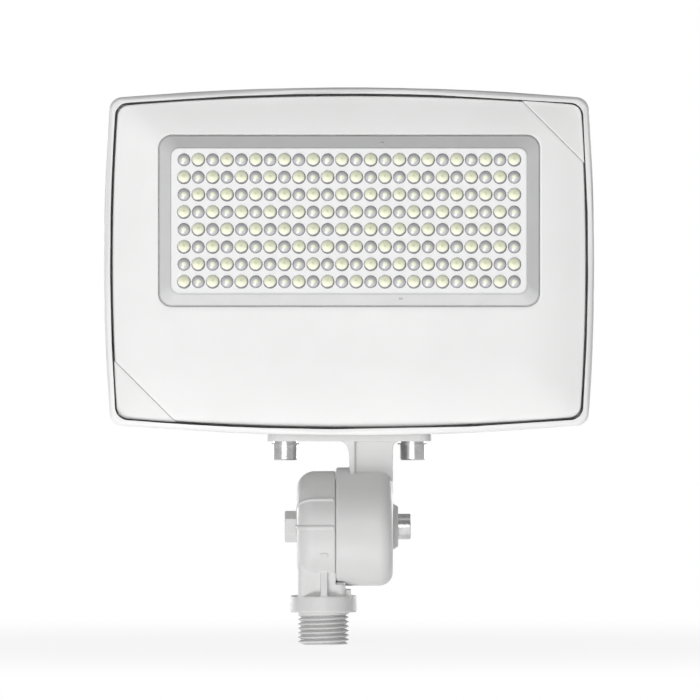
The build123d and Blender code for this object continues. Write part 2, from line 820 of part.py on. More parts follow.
def make_vent():
    """Pressure vent: a flat ribbed cap with a stem pressed through the bay's back."""
    cap = slab(Pos(*vent_spot) * Circle(vent_width / 2), driver_bay_back, driver_bay_back + vent_tall)
    cap = fillet(cap.faces().sort_by(Axis.Y)[-1].edges(), 0.6)
    stem = slab(Pos(*vent_spot) * Circle(vent_stem / 2), bay_inner_back - 1.5, driver_bay_back + 0.5)
    slots = [
        slab(Pos(*vent_spot) * Rot(0, 0, turn * 60) * Pos(vent_width / 2, 0) * Rectangle(4, 1.2),
             driver_bay_back + 0.8, driver_bay_back + vent_tall + 1) for turn in range(6)
    ]
    return cap + stem - slots


def make_grommet():
    """Rubber grommet in the wire entry, grooved round the foot pad's hole, with a bore for the wires."""
    flange = Pos(0, 0, foot_top + grommet_long + grommet_flange / 2)
    body_tall = grommet_long - grommet_play
    body = Pos(wire_x, 0, foot_top + grommet_play + body_tall / 2) * Cylinder(grommet_width / 2, body_tall)
    rim = Pos(wire_x, 0, 0) * flange * Cylinder(grommet_width / 2 + grommet_lip, grommet_flange)
    bore = Pos(wire_x, 0, foot_top + grommet_long / 2) * Cylinder(grommet_bore / 2, 3 * grommet_long)
    return body + rim - bore


def turned(points, rounds):
    """Solid turned about the tilt axis from (along X, radius) corners; rounds maps corner to radius."""
    face = make_face(Polyline(*points, points[0]))
    for corner, radius in rounds:
        vertex = face.vertices().sort_by_distance(Vector(*corner))[0]
        face = fillet(vertex, radius)
    plane = Plane(origin=(0, 0, tilt_z), x_dir=(1, 0, 0), z_dir=(0, -1, 0))
    return revolve(plane * face, Axis((0, 0, tilt_z), (1, 0, 0)))


def disc(x0, x1, outer, inner=0.0):
    """A ring about the tilt axis from X = x0 to X = x1."""
    shape = turned([(x0, inner), (x1, inner), (x1, outer), (x0, outer)], [])
    return shape


def face_teeth(valley_x, tip_x):
    """Ring of radial teeth about the tilt axis, roots at valley_x and crests at tip_x."""
    lean = 1 if tip_x > valley_x else -1
    root_x = valley_x - lean * teeth_deep
    half = teeth_inner * pi / teeth_count * 0.94
    section = make_face(Polyline(
        (-half, root_x), (half, root_x), (half, valley_x), (0, tip_x), (-half, valley_x), (-half, root_x)
    ))
    plane = Plane(origin=(0, 0, teeth_inner - 1), x_dir=(0, -1, 0), z_dir=(0, 0, 1))
    tooth = extrude(plane * section, teeth_outer - teeth_inner + 2)
    teeth = [Pos(0, 0, tilt_z) * Rot(360 * i / teeth_count, 0, 0) * tooth for i in range(teeth_count)]
    ring = disc(min(root_x, tip_x) - 1, max(root_x, tip_x) + 1, teeth_outer, teeth_inner + teeth_margin)
    return joined(teeth) & ring


def make_base():
    """Lower casting: dome with beads, hex boss, neck with its rib, collar and threaded nipple."""
    dome = turned(
        [(dome_left, 0), (dome_right, 0), (dome_right, dome_radius), (dome_left, dome_radius)],
        [((dome_left, dome_radius), dome_round), ((dome_right, dome_radius), 0.5)],
    )
    spigot = disc(dome_right - 1, teeth_root_x, spigot_radius)
    boss_plane = Plane(origin=(nut_boss_left, 0, tilt_z), x_dir=(0, 0, 1), z_dir=(1, 0, 0))
    boss = extrude(boss_plane * RegularPolygon(nut_boss_corner, 6), dome_left - nut_boss_left + 3)
    round_end = turned(
        [(nut_boss_left, 0), (dome_left + 3, 0), (dome_left + 3, nut_boss_corner + 0.2),
         (nut_boss_left, nut_boss_corner + 0.2)],
        [((nut_boss_left, nut_boss_corner + 0.2), nut_boss_round)],
    )
    beads = [make_bead(turn) for turn in (0, bead_step, 180, 180 - bead_step)]
    shape = joined([dome, spigot, boss & round_end, *beads, make_neck(), make_collar()])
    shape = shape - make_dome_hollow() - make_wireway()
    shape = joined([shape, face_teeth(teeth_root_x, teeth_root_x + teeth_deep)])
    shape = shape - disc(seal_x - seal_ring / 2 - 0.1, seal_x + seal_ring / 2 + 0.1, cup_bore + 1, seal_floor)
    shape = shape - disc(insert_left, insert_left + insert_long, insert_width / 2)
    shape = shape - disc(insert_left, teeth_root_x + 2, screw_m6 / 2 + screw_clearance)
    shape = shape.cut(thread_groove())
    return shape


def make_bead(turn):
    """A thin raised bead over the dome, in a plane through the tilt axis."""
    track = turned(
        [(dome_left - bead_proud, 0), (dome_right - 0.6, 0), (dome_right - 0.6, dome_radius + bead_proud),
         (dome_left - bead_proud, dome_radius + bead_proud)],
        [((dome_left - bead_proud, dome_radius + bead_proud), dome_round + bead_proud)],
    )
    bar = Pos(0, -dome_radius, 0) * Box(80, 2 * dome_radius - 4, bead_thick)
    bar = Pos(0, 0, tilt_z) * Rot(-turn, 0, 0) * bar
    return track & bar


def make_neck():
    """Neck from the collar up into the dome, wider from front to back at the top, with two ribs."""
    middle = (neck_left + neck_right) / 2
    wide = neck_right - neck_left
    low = Plane.XY.offset(collar_tall - 1) * Pos(middle, 0) * RectangleRounded(wide, neck_depth, neck_corner)
    high = Plane.XY.offset(tilt_z) * Pos(middle, 0) * RectangleRounded(wide, neck_flare, neck_corner)
    neck = loft([low, high], ruled=True)
    neck = neck & disc(-100, 100, 200) - disc(dome_right, 100, neck_sweep)
    plinth = Pos((neck_right + plinth_right) / 2 - 2, 0, collar_tall + plinth_tall / 2 - 0.5) * Box(
        plinth_right - neck_right + 4, plinth_depth, plinth_tall + 1
    )
    plinth = plinth - disc(dome_right, 100, neck_sweep)
    ribs = []
    for face in (-1, 1):
        section = make_face(Polyline(
            (face * 4, collar_tall - 1), (face * (neck_depth / 2 + stem_rib_proud), collar_tall - 1),
            (face * (neck_depth / 2 + stem_rib_proud + 0.6), stem_rib_top - 7),
            (face * (dome_radius - 2.2), stem_rib_top), (face * 4, stem_rib_top), (face * 4, collar_tall - 1),
        ))
        plane = Plane(origin=(stem_rib_left, 0, 0), x_dir=(0, 1, 0), z_dir=(1, 0, 0))
        ribs.append(extrude(plane * section, stem_rib_right - stem_rib_left))
    return joined([neck, plinth, *ribs])


def make_collar():
    """Round collar with soft edges over the plain nipple blank."""
    ring_shape = Pos(0, 0, collar_tall / 2) * Cylinder(collar_width / 2, collar_tall)
    ring_shape = fillet(ring_shape.edges().filter_by(GeomType.CIRCLE), collar_edge)
    blank = Pos(0, 0, (1 - nipple_long) / 2) * Cylinder(thread_major / 2, nipple_long + 1)
    blank = chamfer(blank.edges().group_by(Axis.Z)[0], nipple_chamfer)
    return ring_shape + blank


def thread_groove():
    """The V groove of one helical thread, run out past the nipple's end."""
    radius = thread_major / 2
    half = (thread_pitch - thread_flat) / 2
    over = 0.1
    start = -nipple_long - thread_pitch
    turns = nipple_long + thread_pitch - thread_relief
    path = Helix(pitch=thread_pitch, height=turns, radius=radius, center=(0, 0, start))
    plane = Plane(origin=path @ 0, x_dir=(1, 0, 0), z_dir=path % 0)
    lift = half * over / thread_deep
    section = make_face(Polyline(
        (over, half + lift), (over, -half - lift), (-thread_deep, -0.06), (-thread_deep, 0.06),
        (over, half + lift),
    ))
    return sweep(plane * section, path=path, is_frenet=True)


def make_dome_hollow():
    """Room for the wires round the bolt's hub, open towards the cup."""
    wide = disc(dome_left + dome_wall, dome_right - teeth_ledge, dome_radius - dome_wall, hub_radius)
    mouth = disc(dome_right - teeth_ledge - 1, teeth_root_x + 5, teeth_inner, hub_radius)
    clear = disc(teeth_root_x, teeth_root_x + 5, spigot_radius + 1)
    return wide + mouth + clear


def make_wireway():
    """Round bore up the nipple, and the narrower slot that joins it to the hollow dome."""
    bore = Pos(0, 0, (-nipple_long + wireway_turn) / 2 - 0.5) * Cylinder(
        nipple_bore / 2, nipple_long + wireway_turn + 1
    )
    rise = tilt_z - dome_radius + dome_wall + 4 - wireway_turn + 1
    slot = Pos((wireway_left + wireway_right) / 2, 0, wireway_turn - 1 + rise / 2) * Box(
        wireway_right - wireway_left, wireway_deep, rise
    )
    return bore + slot


def make_arm():
    """Upper casting: foot plate, rib, hollow web, cup and serrated boss."""
    cup = turned(
        [(parting_x, 0), (cup_right, 0), (cup_right, cup_radius), (parting_x, cup_radius)],
        [((cup_right, cup_radius), cup_round), ((parting_x, cup_radius), cup_edge)],
    )
    boss = turned([(cup_right - 1, 0), (boss_right, 0), (boss_right, boss_narrow), (cup_right, boss_wide),
                   (cup_right - 1, boss_wide)], [])
    grooves = []
    for i in range(boss_teeth):
        wedge = Pos(0, 0, boss_wide + boss_groove_in) * Rot(45, 0, 0) * Box(
            2 * (boss_right - cup_right), boss_groove, boss_groove
        )
        grooves.append(Pos(boss_right + boss_groove_out, 0, tilt_z) * Rot(360 * i / boss_teeth, 0, 0)
                       * Rot(0, boss_lean, 0) * wedge)
    foot = Pos(head_x, 0, (foot_bottom + foot_top) / 2) * extrude(
        Pos(0, 0, -foot_thick / 2) * RectangleRounded(foot_width, foot_depth, foot_corner), foot_thick
    )
    rib = make_face(Polyline(
        (rib_left, foot_bottom + 1), (rib_left + rib_lean, tilt_z + rib_foot), (rib_right, tilt_z + rib_foot),
        (rib_right, foot_bottom + 1), (rib_left, foot_bottom + 1),
    ))
    web_plane = Plane(origin=(0, 0, 0), x_dir=(1, 0, 0), z_dir=(0, -1, 0))
    rib = extrude(web_plane * rib, rib_depth / 2, both=True)
    web = Pos((rib_right - 0.5 + cup_right) / 2, 0, (tilt_z + rib_foot + foot_bottom + 1) / 2) * Box(
        cup_right - rib_right + 0.5, web_depth, foot_bottom + 1 - tilt_z - rib_foot
    )
    corner_left = fillet_wedge(rib_left, foot_bottom, -1, arm_fillet_left, rib_depth)
    corner_right = fillet_wedge(cup_right, foot_bottom, 1, arm_fillet_right, web_depth)
    shape = joined([foot, rib, web, cup, boss, corner_left, corner_right])
    bore = disc(parting_x - 2, cup_floor_x, cup_bore)
    room = disc(cup_floor_x + teeth_back, cup_right - cup_wall, cup_radius - cup_wall, hub_radius)
    mouth = disc(cup_floor_x - 1, cup_floor_x + teeth_back + 1, teeth_inner, hub_radius)
    slot_z = (tilt_z + hub_radius + 2 + foot_top + 2) / 2
    wire_slot_tall = foot_top - tilt_z - hub_radius
    slot = Pos(wire_x, 0, slot_z) * Box(wire_slot_wide, wire_slot_deep, wire_slot_tall)
    shape = shape - bore - room - mouth - slot
    shape = joined([shape, face_teeth(cup_floor_x, cup_floor_x - teeth_deep)])
    shape = shape - disc(parting_x - 2, boss_right + 2, screw_m6 / 2 + screw_clearance)
    shape = shape - disc(bolt_seat - cup_washer_thick, boss_right + 2, washer_seat)
    for side in (-1, 1):
        shape = shape - Pos(head_x + side * foot_screw_spacing / 2, 0, foot_bottom) * Cylinder(
            screw_m6 / 2 + screw_clearance, 3 * foot_thick
        )
    return shape.cut(*grooves)


def fillet_wedge(x, z, side, radius, depth):
    """Concave fillet between an upright face at x and the foot plate's underside at z."""
    arc = ThreePointArc(
        (x + side * radius, z), (x + side * radius * (1 - cos(pi / 4)), z - radius * (1 - cos(pi / 4))),
        (x, z - radius),
    )
    section = make_face(Curve() + [
        arc, Polyline((x, z - radius), (x - side, z - radius), (x - side, z + 1), (x + side * radius, z + 1),
                      (x + side * radius, z)),
    ])
    return extrude(Plane(origin=(0, 0, 0), x_dir=(1, 0, 0), z_dir=(0, -1, 0)) * section, depth / 2, both=True)


def washer(outer, inner, thick):
    """Flat ring standing on z = 0."""
    return Pos(0, 0, thick / 2) * (Cylinder(outer / 2, thick) - Cylinder(inner / 2, thick + 1))


def pair(shape):
    """The same piece at both foot screws."""
    return Compound(children=[Pos(head_x + side * foot_screw_spacing / 2, 0, 0) * shape for side in (-1, 1)])


def make_seal():
    """O-ring in the spigot's groove."""
    plane = Plane(origin=(seal_x, 0, tilt_z), x_dir=(0, 1, 0), z_dir=(1, 0, 0))
    return plane * Torus(seal_floor + seal_ring / 2, seal_ring / 2)


washer_z = foot_bottom - spring_washer_thick - washer_thick
foot_screw_long = foot_top + foot_screw_grip - washer_z
m6_hole = screw_m6 + 2 * screw_clearance
foot_screw_sizes = (screw_m6, foot_screw_long, cap_head, cap_head_tall, hex_key, hex_key_deep)
bolt_sizes = (screw_m6, bolt_seat - bolt_tip, cap_head, cap_head_tall, hex_key, hex_key_deep)
bezel_screw_long = flange_back - bezel_foot + bezel_screw_grip - 0.5
bezel_screw_sizes = (bezel_screw, bezel_screw_long, bezel_screw_head, bezel_screw_head_tall,
                     bezel_screw_key, bezel_screw_key_deep)
board_screw_long = platform_y - board_front + board_screw_grip
board_screw_sizes = (board_screw, board_screw_long, board_screw_head, board_screw_head_tall,
                     board_screw_key, board_screw_key_deep)
driver_screw_sizes = (screw_m4, driver_tab_thick + driver_screw_grip, m4_head, m4_head_tall, m4_key,
                      m4_key_deep)
ground_screw_sizes = (screw_m4, ground_grip, m4_head, m4_head_tall, m4_key, m4_key_deep)
driver_spots = [(-driver_screw_across, driver_up), (driver_screw_across, driver_up)]
seal_out = lens_flange - lens_seal_in
seal_frame = ring(
    window_width + 2 * seal_out, window_height + 2 * seal_out, window_corner + seal_out,
    lens_seal_width, window_up,
)

nodes = {
    "knuckle_base": make_base,
    "knuckle_arm": make_arm,
    "knuckle_insert": lambda: disc(
        insert_left, insert_left + insert_long, insert_width / 2, screw_m6 / 2 + thread_play
    ),
    "knuckle_seal": make_seal,
    "knuckle_washer": lambda: disc(bolt_seat - cup_washer_thick, bolt_seat, cup_washer / 2, m6_hole / 2),
    "knuckle_bolt": lambda: Pos(bolt_seat, 0, tilt_z) * Rot(0, -90, 0) * screw(*bolt_sizes),
    "foot_screws": lambda: pair(Pos(0, 0, washer_z) * screw(*foot_screw_sizes)),
    "foot_washers": lambda: pair(Pos(0, 0, washer_z) * washer(washer_width, m6_hole, washer_thick)),
    "foot_spring_washers": lambda: pair(
        Pos(0, 0, washer_z + washer_thick) * washer(spring_washer_width, m6_hole, spring_washer_thick)
    ),
    "rear_housing": make_housing,
    "front_bezel": make_bezel,
    "corner_cap_upper": lambda: make_cap(1),
    "corner_cap_lower": lambda: make_cap(-1),
    "bezel_screws": lambda: screws_along_y(bezel_screw_spots(), flange_back, -1, bezel_screw_sizes),
    "perimeter_gasket": lambda: make_gasket(bezel_inset + 0.1, gasket_width, bezel_foot, shelf_y),
    "lens_panel": make_lens_panel,
    "lens_gasket": lambda: slab(seal_frame, lens_seal_y, step_y),
    "led_board": make_board,
    "warm_leds": lambda: make_leds(1),
    "cool_leds": lambda: make_leds(0),
    "board_screws": lambda: screws_along_y(board_screw_spots(), board_front, 1, board_screw_sizes),
    "thermal_pad": make_pad,
    "board_lead": make_board_lead,
    "driver_case": make_driver_case,
    "driver_lid": make_driver_lid,
    "driver_board": make_driver_board,
    "driver_terminal": make_terminal,
    "driver_screws": lambda: screws_along_y(driver_spots, tab_back - driver_tab_thick, 1, driver_screw_sizes),
    "ground_screw": lambda: screws_along_y([ground_spot], ground_seat, 1, ground_screw_sizes),
    "vent_plug": make_vent,
    "wire_grommet": make_grommet,
    "selector_switch": make_selector,
    "power_slider": lambda: make_slider(selector_ups[0]),
    "colour_slider": lambda: make_slider(selector_ups[1]),
}
for name, make in nodes.items():
    shape = make()
    export_step(shape, f"parts/{name}.step")
    print(name, len(shape.solids()), round(shape.volume / 1000, 2), "cm3")
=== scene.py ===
import math
import bmesh
import bpy
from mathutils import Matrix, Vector


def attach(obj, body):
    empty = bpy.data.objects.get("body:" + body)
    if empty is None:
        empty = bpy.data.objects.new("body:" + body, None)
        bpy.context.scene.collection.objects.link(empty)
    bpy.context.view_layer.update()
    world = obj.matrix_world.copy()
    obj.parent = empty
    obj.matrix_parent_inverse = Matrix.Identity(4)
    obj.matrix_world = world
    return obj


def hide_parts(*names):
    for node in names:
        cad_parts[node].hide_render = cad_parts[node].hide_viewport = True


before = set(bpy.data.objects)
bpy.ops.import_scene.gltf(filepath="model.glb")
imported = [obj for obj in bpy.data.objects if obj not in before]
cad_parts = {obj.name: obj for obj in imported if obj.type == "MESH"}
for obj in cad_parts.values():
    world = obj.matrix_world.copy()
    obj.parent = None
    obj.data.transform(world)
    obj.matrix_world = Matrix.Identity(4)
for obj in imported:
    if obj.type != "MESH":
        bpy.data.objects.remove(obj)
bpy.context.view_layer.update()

# Room: a long lens looks straight at the lit face from the front, at the height of the lamp's middle. The
# floor is plain and pale, and soft panels light the lamp from low in front, with weaker ones at the back.
view_x, view_z, view_width = 0.01085, 0.1068, 0.2835
camera_distance, film_width, face_y, floor_z = 5.0, 36, -0.027, -0.0135
lamp_middle = Vector((0.01, 0, 0.1))

camera_data = bpy.data.cameras.new("front_camera")
camera = bpy.data.objects.new("front_camera", camera_data)
camera.location = (view_x, -camera_distance, view_z)
camera.rotation_euler = (math.pi / 2, 0, 0)
camera_data.sensor_width = film_width
camera_data.lens = film_width * (camera_distance + face_y) / view_width
bpy.context.scene.collection.objects.link(camera)
bpy.context.scene.camera = camera
bpy.context.scene.view_settings.view_transform = "Standard"


def soft_panel(name, place, width, height, watts):
    """A rectangular soft light at place, facing the middle of the lamp."""
    data = bpy.data.lights.new(name, "AREA")
    data.shape = "RECTANGLE"
    data.size = width
    data.size_y = height
    data.energy = watts
    panel = bpy.data.objects.new(name, data)
    panel.location = place
    panel.rotation_euler = (lamp_middle - Vector(place)).to_track_quat("-Z", "Y").to_euler()
    bpy.context.scene.collection.objects.link(panel)


soft_panel("front_low_panel", (-0.7, -2.1, -2.3), 2.2, 1.4, 74)
soft_panel("front_panel", (-0.5, -2.9, 0.1), 2.0, 1.4, 33)
soft_panel("back_left_panel", (-1.3, 1.8, 0.0), 1.0, 0.8, 14)
soft_panel("back_right_panel", (1.3, 1.8, 0.3), 1.0, 0.8, 14)

# The floor shows white to the camera and to reflections; near the lamp a share of its lit surface mixes in,
# so that the shadow stays. It lets the panels below it shine through.
floor_white = bpy.data.materials.new("floor_white")
floor_white.use_nodes = True
floor_tree = floor_white.node_tree
floor_tree.nodes.clear()
floor_tone, floor_reach = 0.86, 9


def lamp_inputs(tree, node, settings):
    """Sets a node's inputs to values, or links them to the sockets that settings pair them with."""
    for key, value in settings:
        if isinstance(value, bpy.types.NodeSocket):
            tree.links.new(value, node.inputs[key])
        else:
            node.inputs[key].default_value = value


def lamp_node(tree, kind, settings=(), **attributes):
    """A new node of tree with its attributes and inputs set."""
    node = tree.nodes.new(kind)
    for key, value in attributes.items():
        setattr(node, key, value)
    lamp_inputs(tree, node, settings)
    return node


floor_path = lamp_node(floor_tree, "ShaderNodeLightPath")
floor_seen = lamp_node(floor_tree, "ShaderNodeMath", (
    (0, floor_path.outputs["Is Camera Ray"]), (1, floor_path.outputs["Is Glossy Ray"])), operation="MAXIMUM")
floor_shown = lamp_node(floor_tree, "ShaderNodeMath", (
    (0, floor_seen.outputs[0]), (1, floor_path.outputs["Is Transmission Ray"])), operation="MAXIMUM")
floor_place = lamp_node(floor_tree, "ShaderNodeTexCoord")
floor_far = lamp_node(floor_tree, "ShaderNodeVectorMath", (
    (0, floor_place.outputs["Object"]),), operation="LENGTH")
floor_fade = lamp_node(floor_tree, "ShaderNodeMapRange", (
    ("Value", floor_far.outputs["Value"]), ("From Min", 0.05), ("From Max", 0.55),
    ("To Min", floor_tone), ("To Max", 1.0)), interpolation_type="SMOOTHSTEP")
floor_glow_share = lamp_node(floor_tree, "ShaderNodeMath", (
    (0, floor_shown.outputs[0]), (1, floor_fade.outputs["Result"])), operation="MULTIPLY")
floor_lit = lamp_node(floor_tree, "ShaderNodeBsdfDiffuse", (("Color", (*[floor_tone] * 3, 1)),))
floor_glow = lamp_node(floor_tree, "ShaderNodeEmission", (("Strength", 1.0),))
floor_clear = lamp_node(floor_tree, "ShaderNodeBsdfTransparent")
floor_surface = lamp_node(floor_tree, "ShaderNodeMixShader", (
    (0, floor_glow_share.outputs[0]), (1, floor_lit.outputs[0]), (2, floor_glow.outputs[0])))
floor_total = lamp_node(floor_tree, "ShaderNodeMixShader", (
    (0, floor_path.outputs["Is Shadow Ray"]), (1, floor_surface.outputs[0]), (2, floor_clear.outputs[0])))
lamp_node(floor_tree, "ShaderNodeOutputMaterial", (("Surface", floor_total.outputs[0]),))
floor_mesh = bpy.data.meshes.new("floor")
floor_mesh.from_pydata([(x * floor_reach, y * floor_reach, floor_z)
                        for x, y in ((-1, -1), (1, -1), (1, 1), (-1, 1))], [], [(0, 1, 2, 3)])
floor_mesh.materials.append(floor_white)
floor = bpy.data.objects.new("floor", floor_mesh)
bpy.context.scene.collection.objects.link(floor)

# The air round it shows white to the camera too. It lights the lamp softly by height, and as much from
# overhead as from the sides.
air_shown, air_level, air_overhead, overhead_from = 1.0, 0.3, 0.3, 0.8
world = bpy.data.worlds.new("studio_air")
bpy.context.scene.world = world
world.use_nodes = True
air = world.node_tree
air_path = lamp_node(air, "ShaderNodeLightPath")
air_way = lamp_node(air, "ShaderNodeTexCoord")
air_height = lamp_node(air, "ShaderNodeSeparateXYZ", ((0, air_way.outputs["Generated"]),))
air_shade = lamp_node(air, "ShaderNodeMapRange", (
    ("Value", air_height.outputs["Z"]), ("From Min", 0.0), ("From Max", overhead_from),
    ("To Min", air_level), ("To Max", air_overhead)))
air_strength = lamp_node(air, "ShaderNodeMix", (
    ("Factor", air_path.outputs["Is Camera Ray"]), ("A", air_shade.outputs["Result"]), ("B", air_shown)))
lamp_inputs(air, air.nodes["Background"], (
    ("Strength", air_strength.outputs["Result"]), ("Color", (1, 1, 1, 1))))

# Front bezel: one die-cast frame round the lens window, crowned towards its four bowed edges, under white
# powder coat with a fine orange peel. It drops into the housing's lip and leaves a gap all round, dark with
# real shade and with a dark rubber lip set in it as painted shade.
head_x, head_z = 0.0105, 0.1427
head_width, head_height = 0.1988, 0.1411
bow_top, bow_side = 1.085, 0.876
bezel_inset, bezel_corner = 0.0035, 0.0049
bezel_crest, bezel_foot, bezel_wall = -0.027, -0.0175, 0.0025
crown_run, crown_radius = 0.028, 0.1
window_width, window_height, window_corner, window_up = 0.1546, 0.0695, 0.0054, 0.0164
window_rib, window_rib_y = 0.0022, -0.0233
bezel_seam, seam_round, seam_skin = 0.13515, 0.0005, 0.0009
well_step, well_floor = 0.0028, 0.006
side_steps, corner_steps = (48, 34), 8
face_steps, back_steps = 24, 12


def head_loop(inset, corner):
    """Points (across, up) clockwise round the head's bowed outline, from the middle of its top."""
    half_w, half_h = head_width / 2 - inset, head_height / 2 - inset
    level, upright = bow_top - inset, bow_side - inset
    low, left = half_h - level, half_w - upright
    a, b, apart = level - corner, upright - corner, math.hypot(low, left)
    along = (a * a - b * b + apart * apart) / (2 * apart)
    over = math.sqrt(a * a - along * along)
    mid_x, mid_y = left * along / apart, low - low * along / apart
    mid_x, mid_y = mid_x + over * -low / apart, mid_y + over * -left / apart
    lean = math.atan2(mid_x, mid_y - low)
    turn = math.atan2(mid_y, mid_x - left)
    points = []
    for k in range(side_steps[0] + 1):
        at = lean * k / side_steps[0]
        points.append((level * math.sin(at), low + level * math.cos(at)))
    for k in range(1, corner_steps + 1):
        at = lean + (math.pi / 2 - turn - lean) * k / corner_steps
        points.append((mid_x + corner * math.sin(at), mid_y + corner * math.cos(at)))
    for k in range(1, side_steps[1] + 1):
        at = turn * (1 - k / side_steps[1])
        points.append((left + upright * math.cos(at), upright * math.sin(at)))
    return all_quarters(points)


def plate_loop(width, height, corner, up):
    """Points (across, up) clockwise round a rounded rectangle, matching head_loop one to one."""
    half_w, half_h = width / 2, height / 2
    points = [((half_w - corner) * k / side_steps[0], half_h) for k in range(side_steps[0] + 1)]
    for k in range(1, corner_steps + 1):
        at = math.pi / 2 * k / corner_steps
        points.append((half_w - corner + corner * math.sin(at), half_h - corner + corner * math.cos(at)))
    points += [(half_w, (half_h - corner) * (1 - k / side_steps[1])) for k in range(1, side_steps[1] + 1)]
    return [(x, y + up) for x, y in all_quarters(points)]


def all_quarters(quarter):
    """The whole loop from its upper right quarter."""
    right = quarter + [(x, -y) for x, y in reversed(quarter[:-1])]
    return right + [(-x, y) for x, y in reversed(right[1:-1])]


def between(loop_a, loop_b, share):
    """The loop that lies share of the way from loop_a to loop_b."""
    return [((1 - share) * a[0] + share * b[0], (1 - share) * a[1] + share * b[1])
            for a, b in zip(loop_a, loop_b)]


def crown_y(across, up):
    """Depth of the crowned face: flat in the middle, falling off smoothly towards every edge."""
    fall = 0.0
    for reach, half in ((abs(across), head_width / 2), (abs(up), head_height / 2)):
        run = max(0.0, reach - (half - bezel_inset - crown_run))
        fall += (crown_radius - math.sqrt(crown_radius ** 2 - run ** 2)) ** 3
    return bezel_crest + fall ** (1 / 3)


def on_head(loop, depth):
    """A loop set in the head's frame; depth is one Y or a function of (across, up)."""
    return [Vector((head_x + x, depth(x, y) if callable(depth) else depth, head_z + y)) for x, y in loop]


def skin_rings(bm, rings):
    """New faces of bm between each ring of corners and the next."""
    faces = []
    for low, high in zip(rings, rings[1:]):
        for k in range(len(low)):
            m = (k + 1) % len(low)
            faces.append(bm.faces.new((low[k], low[m], high[m], high[k])))
    return faces


def shell_mesh(loops):
    """A closed bmesh ring whose section runs through the loops in turn and back to the first."""
    bm = bmesh.new()
    rings = [[bm.verts.new(p) for p in loop] for loop in loops]
    skin_rings(bm, rings + rings[:1])
    bmesh.ops.recalc_face_normals(bm, faces=bm.faces)
    return bm


def whole_shell(bm):
    """All the corners, edges and faces of a bmesh."""
    return bm.verts[:] + bm.edges[:] + bm.faces[:]


def seam_point(seam, way):
    """A point on the diagonal seam of the upper right corner, or of the lower left with way -1."""
    return Vector((head_x + way * seam / 2, 0, head_z + way * seam / 2))


def cut_away(bm, point, outward):
    """Cuts a closed bmesh on a plane, drops the side that outward points to and closes the cut."""
    cut = bmesh.ops.bisect_plane(bm, geom=whole_shell(bm), dist=1e-7, plane_co=point, plane_no=outward,
                                 clear_outer=True)
    rim = [e for e in cut["geom_cut"] if isinstance(e, bmesh.types.BMEdge)]
    bmesh.ops.triangle_fill(bm, edges=rim, use_beauty=True, use_dissolve=False)


def finished(name, bm, material, sharp=35):
    """A smooth shaded object from a bmesh, with creases kept where faces meet more steeply than sharp."""
    mesh = bpy.data.meshes.new(name)
    bm.to_mesh(mesh)
    bm.free()
    piece = bpy.data.objects.new(name, mesh)
    bpy.context.scene.collection.objects.link(piece)
    if material is not None:
        mesh.materials.append(material)
    mesh.shade_smooth()
    mesh.set_sharp_from_angle(angle=math.radians(sharp))
    return piece


def crowned_frame(inset, corner, wall, foot):
    """The crowned frame as matching loops, from the outline's foot over the face and down the window."""
    outline = head_loop(inset, corner)
    window = plate_loop(window_width, window_height, window_corner, window_up)
    loops = [on_head(outline, foot), on_head(outline, lambda x, y: crown_y(x, y) + 0.003)]
    for off, drop in ((0.0, 0.0006), (0.00004, 0.00036), (0.00018, 0.00017), (0.00036, 0.00006)):
        edge = head_loop(inset + off, corner - off)
        loops.append(on_head(edge, lambda x, y, d=drop: crown_y(x, y) + d))
    face_edge = head_loop(inset + 0.0006, corner - 0.0006)
    lip = plate_loop(window_width + 0.0008, window_height + 0.0008, window_corner + 0.0004, window_up)
    for k in range(face_steps + 1):
        loops.append(on_head(between(face_edge, lip, k / face_steps), crown_y))
    for off, drop in ((0.00024, 0.00005), (0.0001, 0.00014), (0.0, 0.0003)):
        edge = plate_loop(window_width + 2 * off, window_height + 2 * off, window_corner + off, window_up)
        loops.append(on_head(edge, lambda x, y, d=drop: crown_y(x, y) + d))
    rib = plate_loop(window_width + 2 * window_rib, window_height + 2 * window_rib,
                     window_corner + window_rib, window_up)
    loops += [on_head(window, window_rib_y), on_head(rib, window_rib_y)]
    under = head_loop(inset + wall, corner - wall)
    for k in range(back_steps + 1):
        loops.append(on_head(between(rib, under, k / back_steps), lambda x, y: crown_y(x, y) + wall))
    loops.append(on_head(under, foot))
    return shell_mesh(loops)


def round_seam(bm, seam, side):
    """Rounds the face over where it meets a corner's diagonal seam; side is -1 within it, 1 beyond."""
    for step in (1.0, 0.62, 0.32, 0.12, 0.03):
        for way in (1, -1):
            point = seam_point(seam + side * step * seam_round * math.sqrt(2), way)
            bmesh.ops.bisect_plane(bm, geom=whole_shell(bm), dist=1e-7, plane_co=point,
                                   plane_no=(way, 0, way))
    for v in bm.verts:
        x, y = v.co.x - head_x, v.co.z - head_z
        away = side * (abs(x + y) - seam) / math.sqrt(2)
        if -1e-6 < away < seam_round and v.co.y < crown_y(x, y) + seam_skin:
            rest = seam_round - max(0.0, away)
            v.co.y += seam_round - math.sqrt(max(0.0, seam_round ** 2 - rest ** 2))


def cad_copy(node):
    """A merged copy of a node's mesh, free to be reshaped."""
    bm = bmesh.new()
    bm.from_mesh(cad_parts[node].data)
    bmesh.ops.remove_doubles(bm, verts=bm.verts, dist=1e-6)
    return bm


def join_shell(bm, part):
    """Adds the bmesh part to bm and frees it."""
    spare = bpy.data.meshes.new("spare_part")
    part.to_mesh(spare)
    part.free()
    bm.from_mesh(spare)
    bpy.data.meshes.remove(spare)


def lamp_finish(name):
    """A new finish: its material, tree and shader, and the place on the lamp that its patterns follow."""
    material = bpy.data.materials.new(name)
    material.use_nodes = True
    tree = material.node_tree
    place = lamp_node(tree, "ShaderNodeTexCoord").outputs["Object"]
    return material, tree, tree.nodes["Principled BSDF"], place


